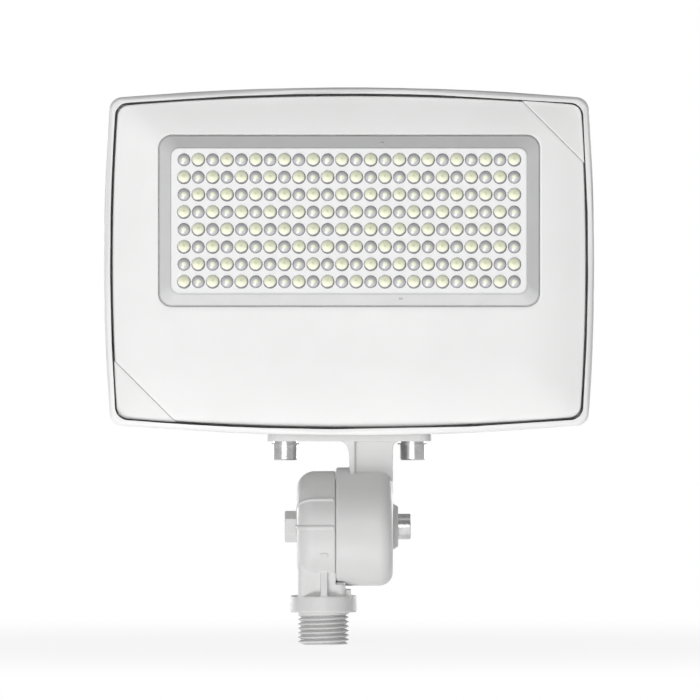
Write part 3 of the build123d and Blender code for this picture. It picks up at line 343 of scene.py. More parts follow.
def soft_clouds(tree, place, scale, detail=2.0, distortion=0.0):
    """Soft noise at place, with scale features to the metre."""
    return lamp_node(tree, "ShaderNodeTexNoise", (
        ("Vector", place), ("Scale", scale), ("Detail", detail), ("Distortion", distortion))).outputs["Fac"]


def tone_steps(tree, factor, stops):
    """The colour that factor picks from stops, each a place from 0 to 1 with a colour."""
    node = lamp_node(tree, "ShaderNodeValToRGB", (("Fac", factor),))
    elements = node.color_ramp.elements
    elements.remove(elements[1])
    elements[0].position, elements[0].color = stops[0][0], (*stops[0][1], 1)
    for position, colour in stops[1:]:
        elements.new(position).color = (*colour, 1)
    return node.outputs["Color"]


def carried(tree, value, low, high, within=(0.0, 1.0)):
    """The value carried from the range within to the range from low to high."""
    return lamp_node(tree, "ShaderNodeMapRange", (
        ("Value", value), ("From Min", within[0]), ("From Max", within[1]),
        ("To Min", low), ("To Max", high))).outputs["Result"]


def laid_on(tree, shader, colour, rough, height, strength, depth):
    """Gives a shader its colour and roughness, and bumps it by the height."""
    bump = lamp_node(tree, "ShaderNodeBump", (
        ("Height", height), ("Strength", strength), ("Distance", depth)))
    lamp_inputs(tree, shader, (
        ("Base Color", colour), ("Roughness", rough), ("Normal", bump.outputs["Normal"])))


def clouded_coat(name, dark, light, cloud, gloss, grain, rough, strength, depth, metallic=0.0):
    """A near-even surface: cloudy tone, soft change of gloss, and a fine grain of the size grain."""
    material, tree, shader, place = lamp_finish(name)
    shader.inputs["Metallic"].default_value = metallic
    tone = tone_steps(tree, soft_clouds(tree, place, cloud, 4), [(0.3, dark), (0.7, light)])
    shine = carried(tree, soft_clouds(tree, place, *gloss), *rough, (0.3, 0.7))
    laid_on(tree, shader, tone, shine, soft_clouds(tree, place, 1 / grain), strength, depth)
    return material


def powder_coat(name, shade, warm, peel=0.00035, depth=0.000035, rough=(0.34, 0.5)):
    """White powder coat with a fine orange peel."""
    dark = (shade * 0.965, shade * 0.965, shade * (0.965 - warm))
    return clouded_coat(name, dark, (shade, shade, shade * (1 - warm)), 28, (160, 5), peel, rough, 0.5, depth)


white_coat = powder_coat("white_powder_coat", 0.84, 0.004)

bezel_shell = crowned_frame(bezel_inset, bezel_corner, bezel_wall, bezel_foot)
round_seam(bezel_shell, bezel_seam, -1)
for way in (1, -1):
    cut_away(bezel_shell, seam_point(bezel_seam, way), (way, 0, way))
for way in (1, -1):
    well = cad_copy("front_bezel")
    cut_away(well, seam_point(bezel_seam - well_step, way), (-way, 0, -way))
    cut_away(well, Vector((0, bezel_crest + well_floor, 0)), (0, -1, 0))
    join_shell(bezel_shell, well)
bezel = finished("bezel_frame", bezel_shell, white_coat)
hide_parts("front_bezel")
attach(bezel, "head")

# Corner caps: two triangular mouldings in matt white plastic that close the bezel's corners. Each follows
# the crown, stands a hair proud of the outline and snaps in by two round posts.
cap_seam, cap_inset, cap_wall, cap_foot = 0.1353, 0.0031, 0.002, -0.0198
post_spots = [(0.0054, 0.0183), (0.0173, 0.0072)]
post_radius, post_root, post_tip, post_steps = 0.0013, -0.0235, -0.0165, 24
cap_plastic = powder_coat("matt_white_plastic", 0.82, 0.006, 0.0005, 0.00002, (0.42, 0.56))


def post_ring(bm, x, y, z, radius, steps):
    """A ring of corners about a point, upright and square to the depth."""
    turns = [2 * math.pi * k / steps for k in range(steps)]
    return [bm.verts.new((x + radius * math.cos(at), y, z + radius * math.sin(at))) for at in turns]


for cap_name, cap_node, cap_body, way in (("upper_corner_cap", "corner_cap_upper", "upper_cap", 1),
                                          ("lower_corner_cap", "corner_cap_lower", "lower_cap", -1)):
    cap_shell = crowned_frame(cap_inset, bezel_corner, cap_wall, cap_foot)
    round_seam(cap_shell, cap_seam, 1)
    cut_away(cap_shell, seam_point(cap_seam, way), (-way, 0, -way))
    for across, up in post_spots:
        post_x = head_x + way * (head_width / 2 - bezel_inset - across)
        post_z = head_z + way * (head_height / 2 - bezel_inset - up)
        rings = [post_ring(cap_shell, post_x, depth, post_z, radius, post_steps) for depth, radius in (
            (post_root, post_radius), (post_tip - 0.0004, post_radius),
            (post_tip - 0.0001, post_radius * 0.88), (post_tip, post_radius * 0.62))]
        skin_rings(cap_shell, rings)
        cap_shell.faces.new(rings[0])
        cap_shell.faces.new(list(reversed(rings[-1])))
    bmesh.ops.recalc_face_normals(cap_shell, faces=cap_shell.faces)
    cap = finished(cap_name, cap_shell, cap_plastic)
    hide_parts(cap_node)
    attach(cap, cap_body)

# Lens panel: one clear polycarbonate moulding. A flange behind the window carries a straight wall, a
# bevelled skirt and a flat plateau, on which a small lenslet stands over every LED.
lens_gap, skirt_run, plateau_corner = 0.0003, 0.0049, 0.0032
skirt_y, plateau_y, lens_flange_y, lens_seal_y = -0.0268, -0.0292, -0.0232, -0.0214
lens_flange, flange_edge, foot_edge, lens_wall = 0.003, 0.0004, 0.0006, 0.0018
nub_spots, nub_radius, nub_steps = [(0.0133, 0.0473), (0.0209, -0.0145)], 0.0011, 16
plateau_slot, skirt_slot, edge_shade_slot = 0, 1, 2
lenslet_columns, lenslet_rows = 24, 8
lenslet_pitch_x, lenslet_pitch_z = 0.005815, 0.00705
wide_lenslet, narrow_lenslet, lenslet_rise = 0.0057, 0.0053, 0.00147


def clear_moulding(name, shade, rough):
    """Clear plastic over the white board: pale grey, glossy, with faint flow marks."""
    material, tree, shader, place = lamp_finish(name)
    shader.inputs["IOR"].default_value = 1.58
    shader.inputs["Coat Weight"].default_value = 0.6
    shader.inputs["Coat Roughness"].default_value = 0.06
    flow = soft_clouds(tree, place, 90, 3, 0.6)
    tone = tone_steps(tree, flow, [(0.3, (shade * 0.955, shade * 0.955, shade * 0.965)),
                                   (0.72, (shade, shade, shade * 1.005))])
    laid_on(tree, shader, tone, carried(tree, flow, rough * 0.8, rough * 1.25), flow, 0.25, 0.00004)
    return material


plateau_clear = clear_moulding("clear_lens_plate", 0.67, 0.2)
skirt_clear = clear_moulding("clear_lens_skirt", 0.62, 0.16)
# The darker edge grey is painted shade for the thin seam lines along the skirt's foot and the plateau's
# border.
edge_shade_clear = clear_moulding("clear_lens_edge", 0.42, 0.2)

panel_w, panel_h = window_width - 2 * lens_gap, window_height - 2 * lens_gap
panel_corner = window_corner - lens_gap
top_w, top_h = panel_w - 2 * skirt_run, panel_h - 2 * skirt_run
panel_rows = []
for grow, depth in ((lens_flange - foot_edge, lens_seal_y), (lens_flange, lens_seal_y - foot_edge),
                    (lens_flange, lens_flange_y + flange_edge), (lens_flange - flange_edge, lens_flange_y),
                    (0, lens_flange_y), (0, skirt_y + 0.0002), (-0.00006, skirt_y + 0.00006),
                    (-0.0002, skirt_y)):
    panel_rows.append(on_head(plate_loop(panel_w + 2 * grow, panel_h + 2 * grow,
                                         panel_corner + max(0, grow), window_up), depth))
skirt_low = plate_loop(panel_w - 0.0006, panel_h - 0.0006, panel_corner - 0.0003, window_up)
skirt_top = plate_loop(top_w + 0.0005, top_h + 0.0005, plateau_corner + 0.0003, window_up)
for share in (0.02, 0.05, 0.2, 0.4, 0.6, 0.8, 0.95, 0.98, 1.0):
    depth = skirt_y + (plateau_y + 0.00022 - skirt_y) * share
    panel_rows.append(on_head(between(skirt_low, skirt_top, share), depth))
for grow, rise in ((0.0001, 0.00024), (0.0, 0.00018), (-0.00006, 0.00005), (-0.0002, 0), (-0.0006, 0)):
    panel_rows.append(on_head(plate_loop(top_w + 2 * grow, top_h + 2 * grow, plateau_corner, window_up),
                              plateau_y + rise))
panel_inside = []
for width, height, corner, depth in (
        (top_w - 0.002, top_h - 0.002, 0.0022, -0.0272),
        (panel_w - 2 * lens_wall, panel_h - 2 * lens_wall, 0.0033, -0.0259),
        (panel_w - 2 * lens_wall, panel_h - 2 * lens_wall, 0.0033, lens_seal_y)):
    panel_inside.append(on_head(plate_loop(width, height, corner, window_up), depth))
panel_rows = panel_inside + panel_rows
panel_shell = bmesh.new()
panel_verts = [[panel_shell.verts.new(p) for p in row] for row in panel_rows]
groove_row = len(panel_rows) - 5
# Rows at the skirt's foot and at the plateau's border take the edge grey: painted shade for their seam lines.
for i, pair in enumerate(zip(panel_verts, panel_verts[1:])):
    edge_shade_row = i in (groove_row, groove_row - 1, 9, 10)
    for face in skin_rings(panel_shell, pair):
        face.material_index = plateau_slot if i > groove_row else edge_shade_slot if edge_shade_row else skirt_slot
panel_shell.faces.new(panel_verts[0]).material_index = plateau_slot
panel_shell.faces.new(list(reversed(panel_verts[-1]))).material_index = plateau_slot
nub_y = 0.5 * (skirt_y + plateau_y) - 0.0001
# Two small nubs on the skirt; the edge grey on their sides paints shade round them.
for across, up in nub_spots:
    nub_rings = [post_ring(panel_shell, head_x + across, nub_y - rise, head_z + up, share * nub_radius,
                            nub_steps)
                 for share, rise in ((1.0, 0.0), (0.92, 0.00012), (0.7, 0.0002), (0.35, 0.00024))]
    for face in skin_rings(panel_shell, nub_rings):
        face.material_index = edge_shade_slot
    panel_shell.faces.new(list(reversed(nub_rings[-1]))).material_index = skirt_slot
    panel_shell.faces.new(nub_rings[0]).material_index = edge_shade_slot
bmesh.ops.recalc_face_normals(panel_shell, faces=panel_shell.faces)
panel = finished("lens_moulding", panel_shell, plateau_clear, 28)
for clear in (skirt_clear, edge_shade_clear):
    panel.data.materials.append(clear)
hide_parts("lens_panel")
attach(panel, "head")


def mixed_tones(tree, factor, first, second, blend="MIX"):
    """Two colours put together by the named blend."""
    return lamp_node(tree, "ShaderNodeMix", (("Factor", factor), ("A", first), ("B", second)),
                    data_type="RGBA", blend_type=blend).outputs["Result"]


def lenslet_glass(name, stops, centre, painted_glint):
    """Clear dome over an LED, drawn opaque: rings about centre from the attribute lens_spot paint the chip's
    image as seen through the glass, dark outer rings paint shade at the dome's foot, and painted_glint, if
    given, places a small painted highlight.
    """
    material, tree, shader, place = lamp_finish(name)
    shader.inputs["IOR"].default_value = 1.58
    shader.inputs["Coat Weight"].default_value = 1.0
    shader.inputs["Coat Roughness"].default_value = 0.05
    spot = lamp_node(tree, "ShaderNodeAttribute", attribute_name="lens_spot").outputs["Vector"]
    wobble = soft_clouds(tree, place, 700)
    aside = lamp_node(tree, "ShaderNodeMath", ((0, wobble), (1, 0.22), (2, -0.11)), operation="MULTIPLY_ADD")
    shift = lamp_node(tree, "ShaderNodeVectorMath", ((0, spot), (1, (*centre, 0))), operation="SUBTRACT")
    far = lamp_node(tree, "ShaderNodeVectorMath", ((0, shift.outputs["Vector"]),), operation="LENGTH")
    near = lamp_node(tree, "ShaderNodeMath", ((0, far.outputs["Value"]), (1, aside.outputs[0])),
                    operation="ADD")
    painted_image = tone_steps(tree, near.outputs[0], stops)
    if painted_glint:
        off = lamp_node(tree, "ShaderNodeVectorMath", ((0, spot), (1, (*painted_glint, 0))), operation="DISTANCE")
        fade = carried(tree, off.outputs["Value"], 1, 0, (0.13, 0.24))
        painted_image = mixed_tones(tree, fade, painted_image, (0.96, 0.96, 0.96, 1))
    laid_on(tree, shader, painted_image, 0.25, wobble, 0.2, 0.00005)
    return material


# Warm domes: a pale yellow painted image of the phosphor, darker a little above the middle as painted shade
# of a dimple, and a dark rim of painted shade round the foot.
warm_lens = lenslet_glass("warm_lenslet", [
    (0.0, (0.62, 0.6, 0.44)), (0.14, (0.7, 0.71, 0.5)), (0.3, (0.88, 0.91, 0.66)), (0.72, (0.93, 0.95, 0.76)),
    (0.82, (0.8, 0.8, 0.66)), (0.9, (0.26, 0.26, 0.26)), (1.0, (0.16, 0.16, 0.17))], (-0.04, 0.14), None)
# Cool domes: a small pale centre in a grey ring, a painted image of the chip through the glass, a dark rim of
# painted shade, and a white painted highlight low on the left.
cool_lens = lenslet_glass("cool_lenslet", [
    (0.0, (0.88, 0.91, 0.7)), (0.28, (0.84, 0.86, 0.68)), (0.44, (0.6, 0.6, 0.6)), (0.7, (0.53, 0.53, 0.55)),
    (0.86, (0.4, 0.4, 0.42)), (0.94, (0.2, 0.2, 0.21)), (1.0, (0.2, 0.2, 0.21))], (0.0, 0.04), (-0.2, -0.42))

dome_lean = 2 * math.atan(lenslet_rise / (wide_lenslet / 2))
dome_shape = bmesh.new()
spot_layer = dome_shape.verts.layers.float_vector.new("lens_spot")
dome_rings, dome_steps, dome_sunk = [], 16, 0.12
for lean, sink in ((dome_lean / 3, 0), (dome_lean * 2 / 3, 0), (dome_lean, 0), (dome_lean, dome_sunk)):
    ring = []
    for a in range(dome_steps):
        at = 2 * math.pi * a / dome_steps
        reach = math.sin(lean) / math.sin(dome_lean)
        lift = (math.cos(lean) - math.cos(dome_lean)) / (1 - math.cos(dome_lean))
        corner = Vector((reach * math.cos(at), -lift + sink, reach * math.sin(at)))
        vert = dome_shape.verts.new(corner)
        vert[spot_layer] = (corner.x, corner.z, 0)
        ring.append(vert)
    dome_rings.append(ring)
dome_top = dome_shape.verts.new((0, -1, 0))
for a in range(dome_steps):
    b = (a + 1) % dome_steps
    dome_shape.faces.new((dome_top, dome_rings[0][a], dome_rings[0][b]))
    for low, high in zip(dome_rings[1:], dome_rings):
        dome_shape.faces.new((low[a], low[b], high[b], high[a]))
dome_shape.faces.new(dome_rings[-1])
bmesh.ops.recalc_face_normals(dome_shape, faces=dome_shape.faces)
lenslets = finished("lenslet_array", dome_shape, None, 60)

# The grid: one dome over each LED, wide over the warm ones and narrow over the cool ones between them.
tree = bpy.data.node_groups.new("lenslet_grid", "GeometryNodeTree")
tree.interface.new_socket("Geometry", in_out="INPUT", socket_type="NodeSocketGeometry")
lens_inputs = []
for label, kind, value in (
        ("Columns", "NodeSocketInt", lenslet_columns), ("Rows", "NodeSocketInt", lenslet_rows),
        ("Pitch Across", "NodeSocketFloat", lenslet_pitch_x),
        ("Pitch Up", "NodeSocketFloat", lenslet_pitch_z),
        ("Wide Radius", "NodeSocketFloat", wide_lenslet / 2),
        ("Narrow Radius", "NodeSocketFloat", narrow_lenslet / 2), ("Rise", "NodeSocketFloat", lenslet_rise)):
    lens_inputs.append((tree.interface.new_socket(label, in_out="INPUT", socket_type=kind), value))
tree.interface.new_socket("Geometry", in_out="OUTPUT", socket_type="NodeSocketGeometry")
group_in = lamp_node(tree, "NodeGroupInput")
group_out = lamp_node(tree, "NodeGroupOutput")


def lenslet_sum(operation, *values):
    """A maths node of the lenslet tree; each value is a number or another node's socket."""
    return lamp_node(tree, "ShaderNodeMath", enumerate(values), operation=operation).outputs[0]


pitch_across, pitch_up = group_in.outputs["Pitch Across"], group_in.outputs["Pitch Up"]
half_across = lenslet_sum("MULTIPLY", lenslet_sum("SUBTRACT", group_in.outputs["Columns"], 1.0), 0.5)
half_up = lenslet_sum("MULTIPLY", lenslet_sum("SUBTRACT", group_in.outputs["Rows"], 1.0), 0.5)
grid = lamp_node(tree, "GeometryNodeMeshGrid", (
    ("Size X", lenslet_sum("MULTIPLY", lenslet_sum("MULTIPLY", half_across, 2.0), pitch_across)),
    ("Size Y", lenslet_sum("MULTIPLY", lenslet_sum("MULTIPLY", half_up, 2.0), pitch_up)),
    ("Vertices X", group_in.outputs["Columns"]), ("Vertices Y", group_in.outputs["Rows"])))
spot_at = lamp_node(tree, "GeometryNodeInputPosition")
split = lamp_node(tree, "ShaderNodeSeparateXYZ", ((0, spot_at.outputs[0]),))
from_middle = lenslet_sum("DIVIDE", split.outputs["X"], pitch_across)
column = lenslet_sum("ROUND", lenslet_sum("ADD", from_middle, half_across))
above_middle = lenslet_sum("DIVIDE", split.outputs["Y"], pitch_up)
row_down = lenslet_sum("ROUND", lenslet_sum("SUBTRACT", half_up, above_middle))
odd_place = lenslet_sum("FLOORED_MODULO", lenslet_sum("ADD", column, row_down), 2.0)
join = lamp_node(tree, "GeometryNodeJoinGeometry")
for label, chosen, glass in (("Wide Radius", odd_place, warm_lens),
                             ("Narrow Radius", lenslet_sum("SUBTRACT", 1.0, odd_place), cool_lens)):
    size = lamp_node(tree, "ShaderNodeCombineXYZ", (
        ("X", group_in.outputs[label]), ("Y", group_in.outputs["Rise"]), ("Z", group_in.outputs[label])))
    turn = lamp_node(tree, "FunctionNodeEulerToRotation", ((0, (-math.pi / 2, 0, 0)),))
    put = lamp_node(tree, "GeometryNodeInstanceOnPoints", (
        ("Points", grid.outputs["Mesh"]), ("Selection", chosen), ("Instance", group_in.outputs["Geometry"]),
        ("Rotation", turn.outputs[0]), ("Scale", size.outputs[0])))
    real = lamp_node(tree, "GeometryNodeRealizeInstances", ((0, put.outputs["Instances"]),))
    paint = lamp_node(tree, "GeometryNodeSetMaterial", (("Geometry", real.outputs[0]), ("Material", glass)))
    lamp_inputs(tree, join, ((0, paint.outputs[0]),))
stand = lamp_node(tree, "GeometryNodeTransform", (
    ("Geometry", join.outputs[0]), ("Rotation", (math.pi / 2, 0, 0)),
    ("Translation", (head_x, plateau_y, head_z + window_up))))
lamp_inputs(tree, group_out, ((0, stand.outputs[0]),))


def settled(piece):
    """Turns a piece's modifiers into its plain mesh."""
    graph = bpy.context.evaluated_depsgraph_get()
    mesh = bpy.data.meshes.new_from_object(piece.evaluated_get(graph), preserve_all_data_layers=True,
                                           depsgraph=graph)
    piece.modifiers.clear()
    piece.data = mesh


grow = lenslets.modifiers.new("grow", "NODES")
grow.node_group = tree
for entry, value in lens_inputs:
    grow[entry.identifier] = value
settled(lenslets)
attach(lenslets, "head")

# Rear housing: one aluminium die casting under the same white coat. It has the rounded lip round the
# bezel, the upright fins on the back, the ribbed driver bay and the pad that the knuckle screws to.
cast_edge, casting_flat, bevel_from, smooth_below = 0.00045, 1.5, 40, 30
lip_face, lip_wall, lip_slope, head_corner = -0.025, 0.0025, 0.75, 0.0054
lip_deep, lip_margin, lip_shelf = 0.0016, 0.0004, 0.0005


def bevelled(name, shell, material, flat, width):
    """A piece with small bevels on its sharper edges, from a shell freed of seams flatter than flat."""
    bmesh.ops.dissolve_limit(shell, angle_limit=math.radians(flat), use_dissolve_boundaries=False,
                             verts=shell.verts, edges=shell.edges)
    piece = finished(name, shell, material, smooth_below)
    edges = piece.modifiers.new("rounded_edges", "BEVEL")
    edges.width = width
    edges.segments = 2
    edges.limit_method = "ANGLE"
    edges.angle_limit = math.radians(bevel_from)
    edges.use_clamp_overlap = True
    edges.harden_normals = True
    settled(piece)
    return piece


housing = bevelled("housing_casting", cad_copy("rear_housing"), white_coat, casting_flat, cast_edge)


def edge_in(across, up):
    """How far a point of the head lies inside its bowed outline."""
    level = bow_top - math.hypot(across, abs(up) + bow_top - head_height / 2)
    upright = bow_side - math.hypot(abs(across) + bow_side - head_width / 2, up)
    if level < head_corner and upright < head_corner:
        return head_corner - math.hypot(head_corner - level, head_corner - upright)
    return min(level, upright)


for v in housing.data.vertices:
    inward = edge_in(v.co.x - head_x, v.co.z - head_z)
    if v.co.y < lip_face + lip_deep and inward < lip_wall + lip_margin:
        v.co.y += lip_slope * max(0.0, lip_wall - lip_shelf - max(inward, 0.0))
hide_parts("rear_housing")
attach(housing, "head")

# Knuckle arm: the upper casting, in cast aluminium under a greyer copy of the white coat. Its foot plate is
# screwed below the housing, and its cup closes over the lower casting's toothed face.
# A greyer copy of the white powder coat, partly the knuckle's own greyer paint and partly painted shade for
# the shade under the head; the base casting and the nipple thread wear it too.
knuckle_grey_and_shade_coat = powder_coat("knuckle_powder_coat", 0.61, 0.004)
arm_grain, casting_polish, casting_keep = 0.00032, 2, 0.22


def cast_copy(name, shell, grain):
    """A casting with the small even radii that a mould gives, from the shape in shell."""
    piece = finished(name, shell, knuckle_grey_and_shade_coat)
    grains = piece.modifiers.new("grains", "REMESH")
    grains.mode = "VOXEL"
    grains.voxel_size = grain
    polish = piece.modifiers.new("polish", "SMOOTH")
    polish.factor = 0.5
    polish.iterations = casting_polish
    lighter = piece.modifiers.new("lighter", "DECIMATE")
    lighter.ratio = casting_keep
    settled(piece)
    piece.data.shade_smooth()
    return piece


arm = cast_copy("knuckle_arm_casting", cad_copy("knuckle_arm"), arm_grain)
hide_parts("knuckle_arm")
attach(arm, "head")

# Knuckle base: the lower casting, with its domed half of the knuckle, two thin beads, the hexagonal nut
# boss, the neck and the collar. The conduit thread is cut on the nipple below it.
thread_major, thread_deep, thread_pitch = 0.0104, 0.00145, 0.001814
thread_top, thread_stop, thread_fade, crest_share, flank_share = 0.0004, -0.0009, 0.0004, 0.077, 0.42
nipple_end, nipple_bore, nipple_chamfer = -0.013, 0.007, 0.0009
knuckle_z, base_cut, base_grain = 0.0349, 0.00002, 0.00028
saddle_low, saddle_left, saddle_right, saddle_reach = 0.0092, 0.0042, 0.0088, 0.0098
saddle_radius, saddle_steps = 0.02455, 12
dome_x, dome_reach, dome_out = 0.0046, 0.0198, 0.00017
base_shell = cad_copy("knuckle_base")
cut_away(base_shell, Vector((0, 0, base_cut)), (0, 0, -1))
saddle_rows = []
for k in range(saddle_steps + 1):
    y = saddle_reach * (2 * k / saddle_steps - 1)
    high = knuckle_z - math.sqrt(saddle_radius ** 2 - y ** 2)
    saddle_rows.append([base_shell.verts.new(p) for p in (
        (saddle_left, y, saddle_low), (saddle_right, y, saddle_low), (saddle_right, y, high),
        (saddle_left, y, high))])
skin_rings(base_shell, saddle_rows)
for row in (saddle_rows[0], saddle_rows[-1]):
    base_shell.faces.new(row)
bmesh.ops.recalc_face_normals(base_shell, faces=base_shell.faces)
base = cast_copy("knuckle_base_casting", base_shell, base_grain)
for v in base.data.vertices:
    if v.co.x > dome_x and math.hypot(v.co.y, v.co.z - knuckle_z) > dome_reach:
        v.co.x += dome_out

thread_shell = bmesh.new()
turn_steps, pitch_steps = 96, 10
thread_shares = (0.0, 0.039, 0.077, 0.21, 0.35, 0.497, 0.539, 0.58, 0.73, 0.87)
rows_needed = int((thread_top - nipple_end) / thread_pitch + 3) * pitch_steps
columns = []
for a in range(turn_steps):
    column = []
    for k in range(rows_needed + pitch_steps):
        share = thread_shares[k % pitch_steps]
        climb = (k // pitch_steps + share + a / turn_steps - 2) * thread_pitch + nipple_end
        slope = min(max(share - crest_share, 0.0) / flank_share, (1 - share) / flank_share, 1.0)
        fade = 1.0 if climb < thread_stop else max(0.0, 1 - (climb - thread_stop) / thread_fade)
        radius = thread_major - thread_deep * slope * fade
        radius = min(radius, thread_major - nipple_chamfer + max(0.0, climb - nipple_end))
        at = 2 * math.pi * a / turn_steps
        column.append(thread_shell.verts.new((radius * math.cos(at), radius * math.sin(at), climb)))
    columns.append(column)
for a in range(turn_steps):
    lift = pitch_steps if a == turn_steps - 1 else 0
    after = columns[(a + 1) % turn_steps]
    for k in range(rows_needed - 1):
        thread_shell.faces.new((columns[a][k], after[k + lift], after[k + 1 + lift], columns[a][k + 1]))
for height, way in ((nipple_end, -1), (thread_top, 1)):
    bmesh.ops.bisect_plane(thread_shell, geom=whole_shell(thread_shell), dist=1e-7, plane_co=(0, 0, height),
                           plane_no=(0, 0, way), clear_outer=True)
loose = [v for v in thread_shell.verts if not v.link_faces]
bmesh.ops.delete(thread_shell, geom=loose, context="VERTS")
for height in (nipple_end, thread_top):
    rim = [e for e in thread_shell.edges if e.is_boundary and abs(e.verts[0].co.z - height) < 1e-6
           and abs(e.verts[1].co.z - height) < 1e-6]
    wall = bmesh.ops.extrude_edge_only(thread_shell, edges=rim)["geom"]
    for v in (g for g in wall if isinstance(g, bmesh.types.BMVert)):
        flat = Vector((v.co.x, v.co.y, 0)).normalized() * nipple_bore
        v.co = Vector((flat.x, flat.y, height))
inner = [e for e in thread_shell.edges if e.is_boundary]
bmesh.ops.bridge_loops(thread_shell, edges=inner)
bmesh.ops.recalc_face_normals(thread_shell, faces=thread_shell.faces)
thread = finished("nipple_thread", thread_shell, knuckle_grey_and_shade_coat, 50)
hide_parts("knuckle_base")
for piece in (base, thread):
    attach(piece, "base")

# Fasteners: bright stainless socket screws with a washer and a spring washer under each head, and the
# clamp bolt through the knuckle. Turning leaves fine rings on the heads.


def turned_steel(name, shade):
    """Bright stainless: fine drawn lines and a soft change of tone."""
    material, tree, shader, place = lamp_finish(name)
    shader.inputs["Metallic"].default_value = 1.0
    squeeze = lamp_node(tree, "ShaderNodeMapping", (("Vector", place), ("Scale", (0.06, 0.06, 1.0))))
    lines = soft_clouds(tree, squeeze.outputs["Vector"], 2600, 3)
    tone = tone_steps(tree, soft_clouds(tree, place, 240), [
        (0.25, (shade * 0.82, shade * 0.82, shade * 0.83)), (0.75, (shade * 1.1, shade * 1.1, shade * 1.1))])
    laid_on(tree, shader, tone, carried(tree, lines, 0.16, 0.32), lines, 0.3, 0.00001)
    return material


def eased(node, name, width, body, material):
    """A copy of a node with its edges eased by a small bevel."""
    piece = bevelled(name, cad_copy(node), material, 0.5, width)
    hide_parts(node)
    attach(piece, body)


def clothed(node, material):
    """Gives a node its material."""
    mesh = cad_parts[node].data
    mesh.materials.clear()
    mesh.materials.append(material)


stainless = turned_steel("bright_stainless", 0.62)
eased("foot_screws", "foot_screw_set", 0.00025, "head", stainless)
eased("foot_washers", "foot_washer_set", 0.00008, "head", stainless)
eased("foot_spring_washers", "foot_spring_washer_set", 0.00006, "head", stainless)
eased("knuckle_bolt", "knuckle_clamp_bolt", 0.0003, "clamp_bolt", stainless)
eased("bezel_screws", "bezel_screw_set", 0.00015, "head", stainless)
for node in ("knuckle_washer", "knuckle_insert", "board_screws", "driver_screws"):
    clothed(node, stainless)

# Seals: the ring under the bezel, the ring behind the lens flange, the O-ring in the knuckle and the
# grommet round the wires, all moulded in dark silicone rubber. The ring under the bezel also gets a thin
# dark lip up the gap round the bezel, a dark sheet that paints shade where there is only shade.


def moulded(name, colour, vary=0.06, cloud=70, grain=0.0004, depth=0.00002, rough=(0.4, 0.56), metallic=0.0):
    """A moulded or finished surface in colour, with cloudy tone, uneven gloss and a fine grain."""
    dark, light = [c * (1 - vary) for c in colour], [c * (1 + vary / 2) for c in colour]
    return clouded_coat(name, dark, light, cloud, (cloud * 5, 4), grain, rough, 0.4, depth, metallic)


dark_silicone = moulded("dark_silicone", (0.03, 0.03, 0.032), 0.2, 90, 0.0003, 0.00003, (0.55, 0.72))
for node in ("lens_gasket", "knuckle_seal", "wire_grommet"):
    clothed(node, dark_silicone)
# The painted-shade lip: a thin dark wall from the ring's foot up the gap to near the bezel's front.
shade_lip_out, shade_lip_in, shade_lip_top = 0.00254, 0.00302, -0.0232
seal_and_shade_lip_shell = cad_copy("perimeter_gasket")
seal_foot = sum(v.co.y for v in seal_and_shade_lip_shell.verts) / len(seal_and_shade_lip_shell.verts)
shade_lip_rows = []
for inset, depth in ((shade_lip_out, seal_foot), (shade_lip_out, shade_lip_top + 0.0001),
                     (shade_lip_out + 0.0001, shade_lip_top), (shade_lip_in - 0.0001, shade_lip_top),
                     (shade_lip_in, shade_lip_top + 0.0001), (shade_lip_in, seal_foot)):
    shade_lip_rows.append(on_head(head_loop(inset, head_corner - inset), depth))
join_shell(seal_and_shade_lip_shell, shell_mesh(shade_lip_rows))
seal_and_shade_lip = finished("perimeter_seal", seal_and_shade_lip_shell, dark_silicone)
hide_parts("perimeter_gasket")
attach(seal_and_shade_lip, "head")

# Light board: an aluminium board under white solder mask, with the outlines of its copper just showing.
# It lies on a soft pad that takes the heat, under eight rows of LEDs.


def patched(name, patches, colours, rough):
    """A material whose colours come from the factor that patches builds, over a fine grain."""
    material = moulded(name, (0.5, 0.5, 0.5), 0.06, 60, 0.0003, 0.00002, rough)
    tree = material.node_tree
    base_colour = tree.nodes["Principled BSDF"].inputs["Base Color"]
    tone = base_colour.links[0].from_socket
    paint = tone_steps(tree, patches(tree, lamp_node(tree, "ShaderNodeTexCoord").outputs["Object"]), colours)
    doubled = mixed_tones(tree, 1.0, tone, tone, "ADD")
    tree.links.new(mixed_tones(tree, 1.0, doubled, paint, "MULTIPLY"), base_colour)
    return material


def copper_tracks(tree, place):
    """1 within a track of the board's copper, 0 between the tracks."""
    split = lamp_node(tree, "ShaderNodeSeparateXYZ", ((0, place),))
    flat = lamp_node(tree, "ShaderNodeCombineXYZ", (("X", split.outputs["X"]), ("Y", split.outputs["Z"])))
    bands = lamp_node(tree, "ShaderNodeTexBrick", (
        ("Vector", flat.outputs["Vector"]), ("Scale", 1 / 0.0282), ("Mortar Size", 0.018),
        ("Brick Width", 0.412), ("Row Height", 0.25), ("Color1", (1, 1, 1, 1)),
        ("Color2", (0.9, 0.9, 0.9, 1)), ("Mortar", (0, 0, 0, 1))))
    return bands.outputs["Color"]


clothed("led_board", patched("white_solder_mask", copper_tracks,
                             [(0.0, (0.72, 0.73, 0.72)), (1.0, (0.84, 0.85, 0.84))], (0.3, 0.42)))
clothed("thermal_pad", moulded("grey_thermal_pad", (0.3, 0.34, 0.4), 0.12, 120, 0.0003, 0.00004, (0.7, 0.85)))

# LEDs: surface-mounted packages in two kinds, warm and cool, set like a chessboard. Each is a white frame
# round a square of yellow phosphor.


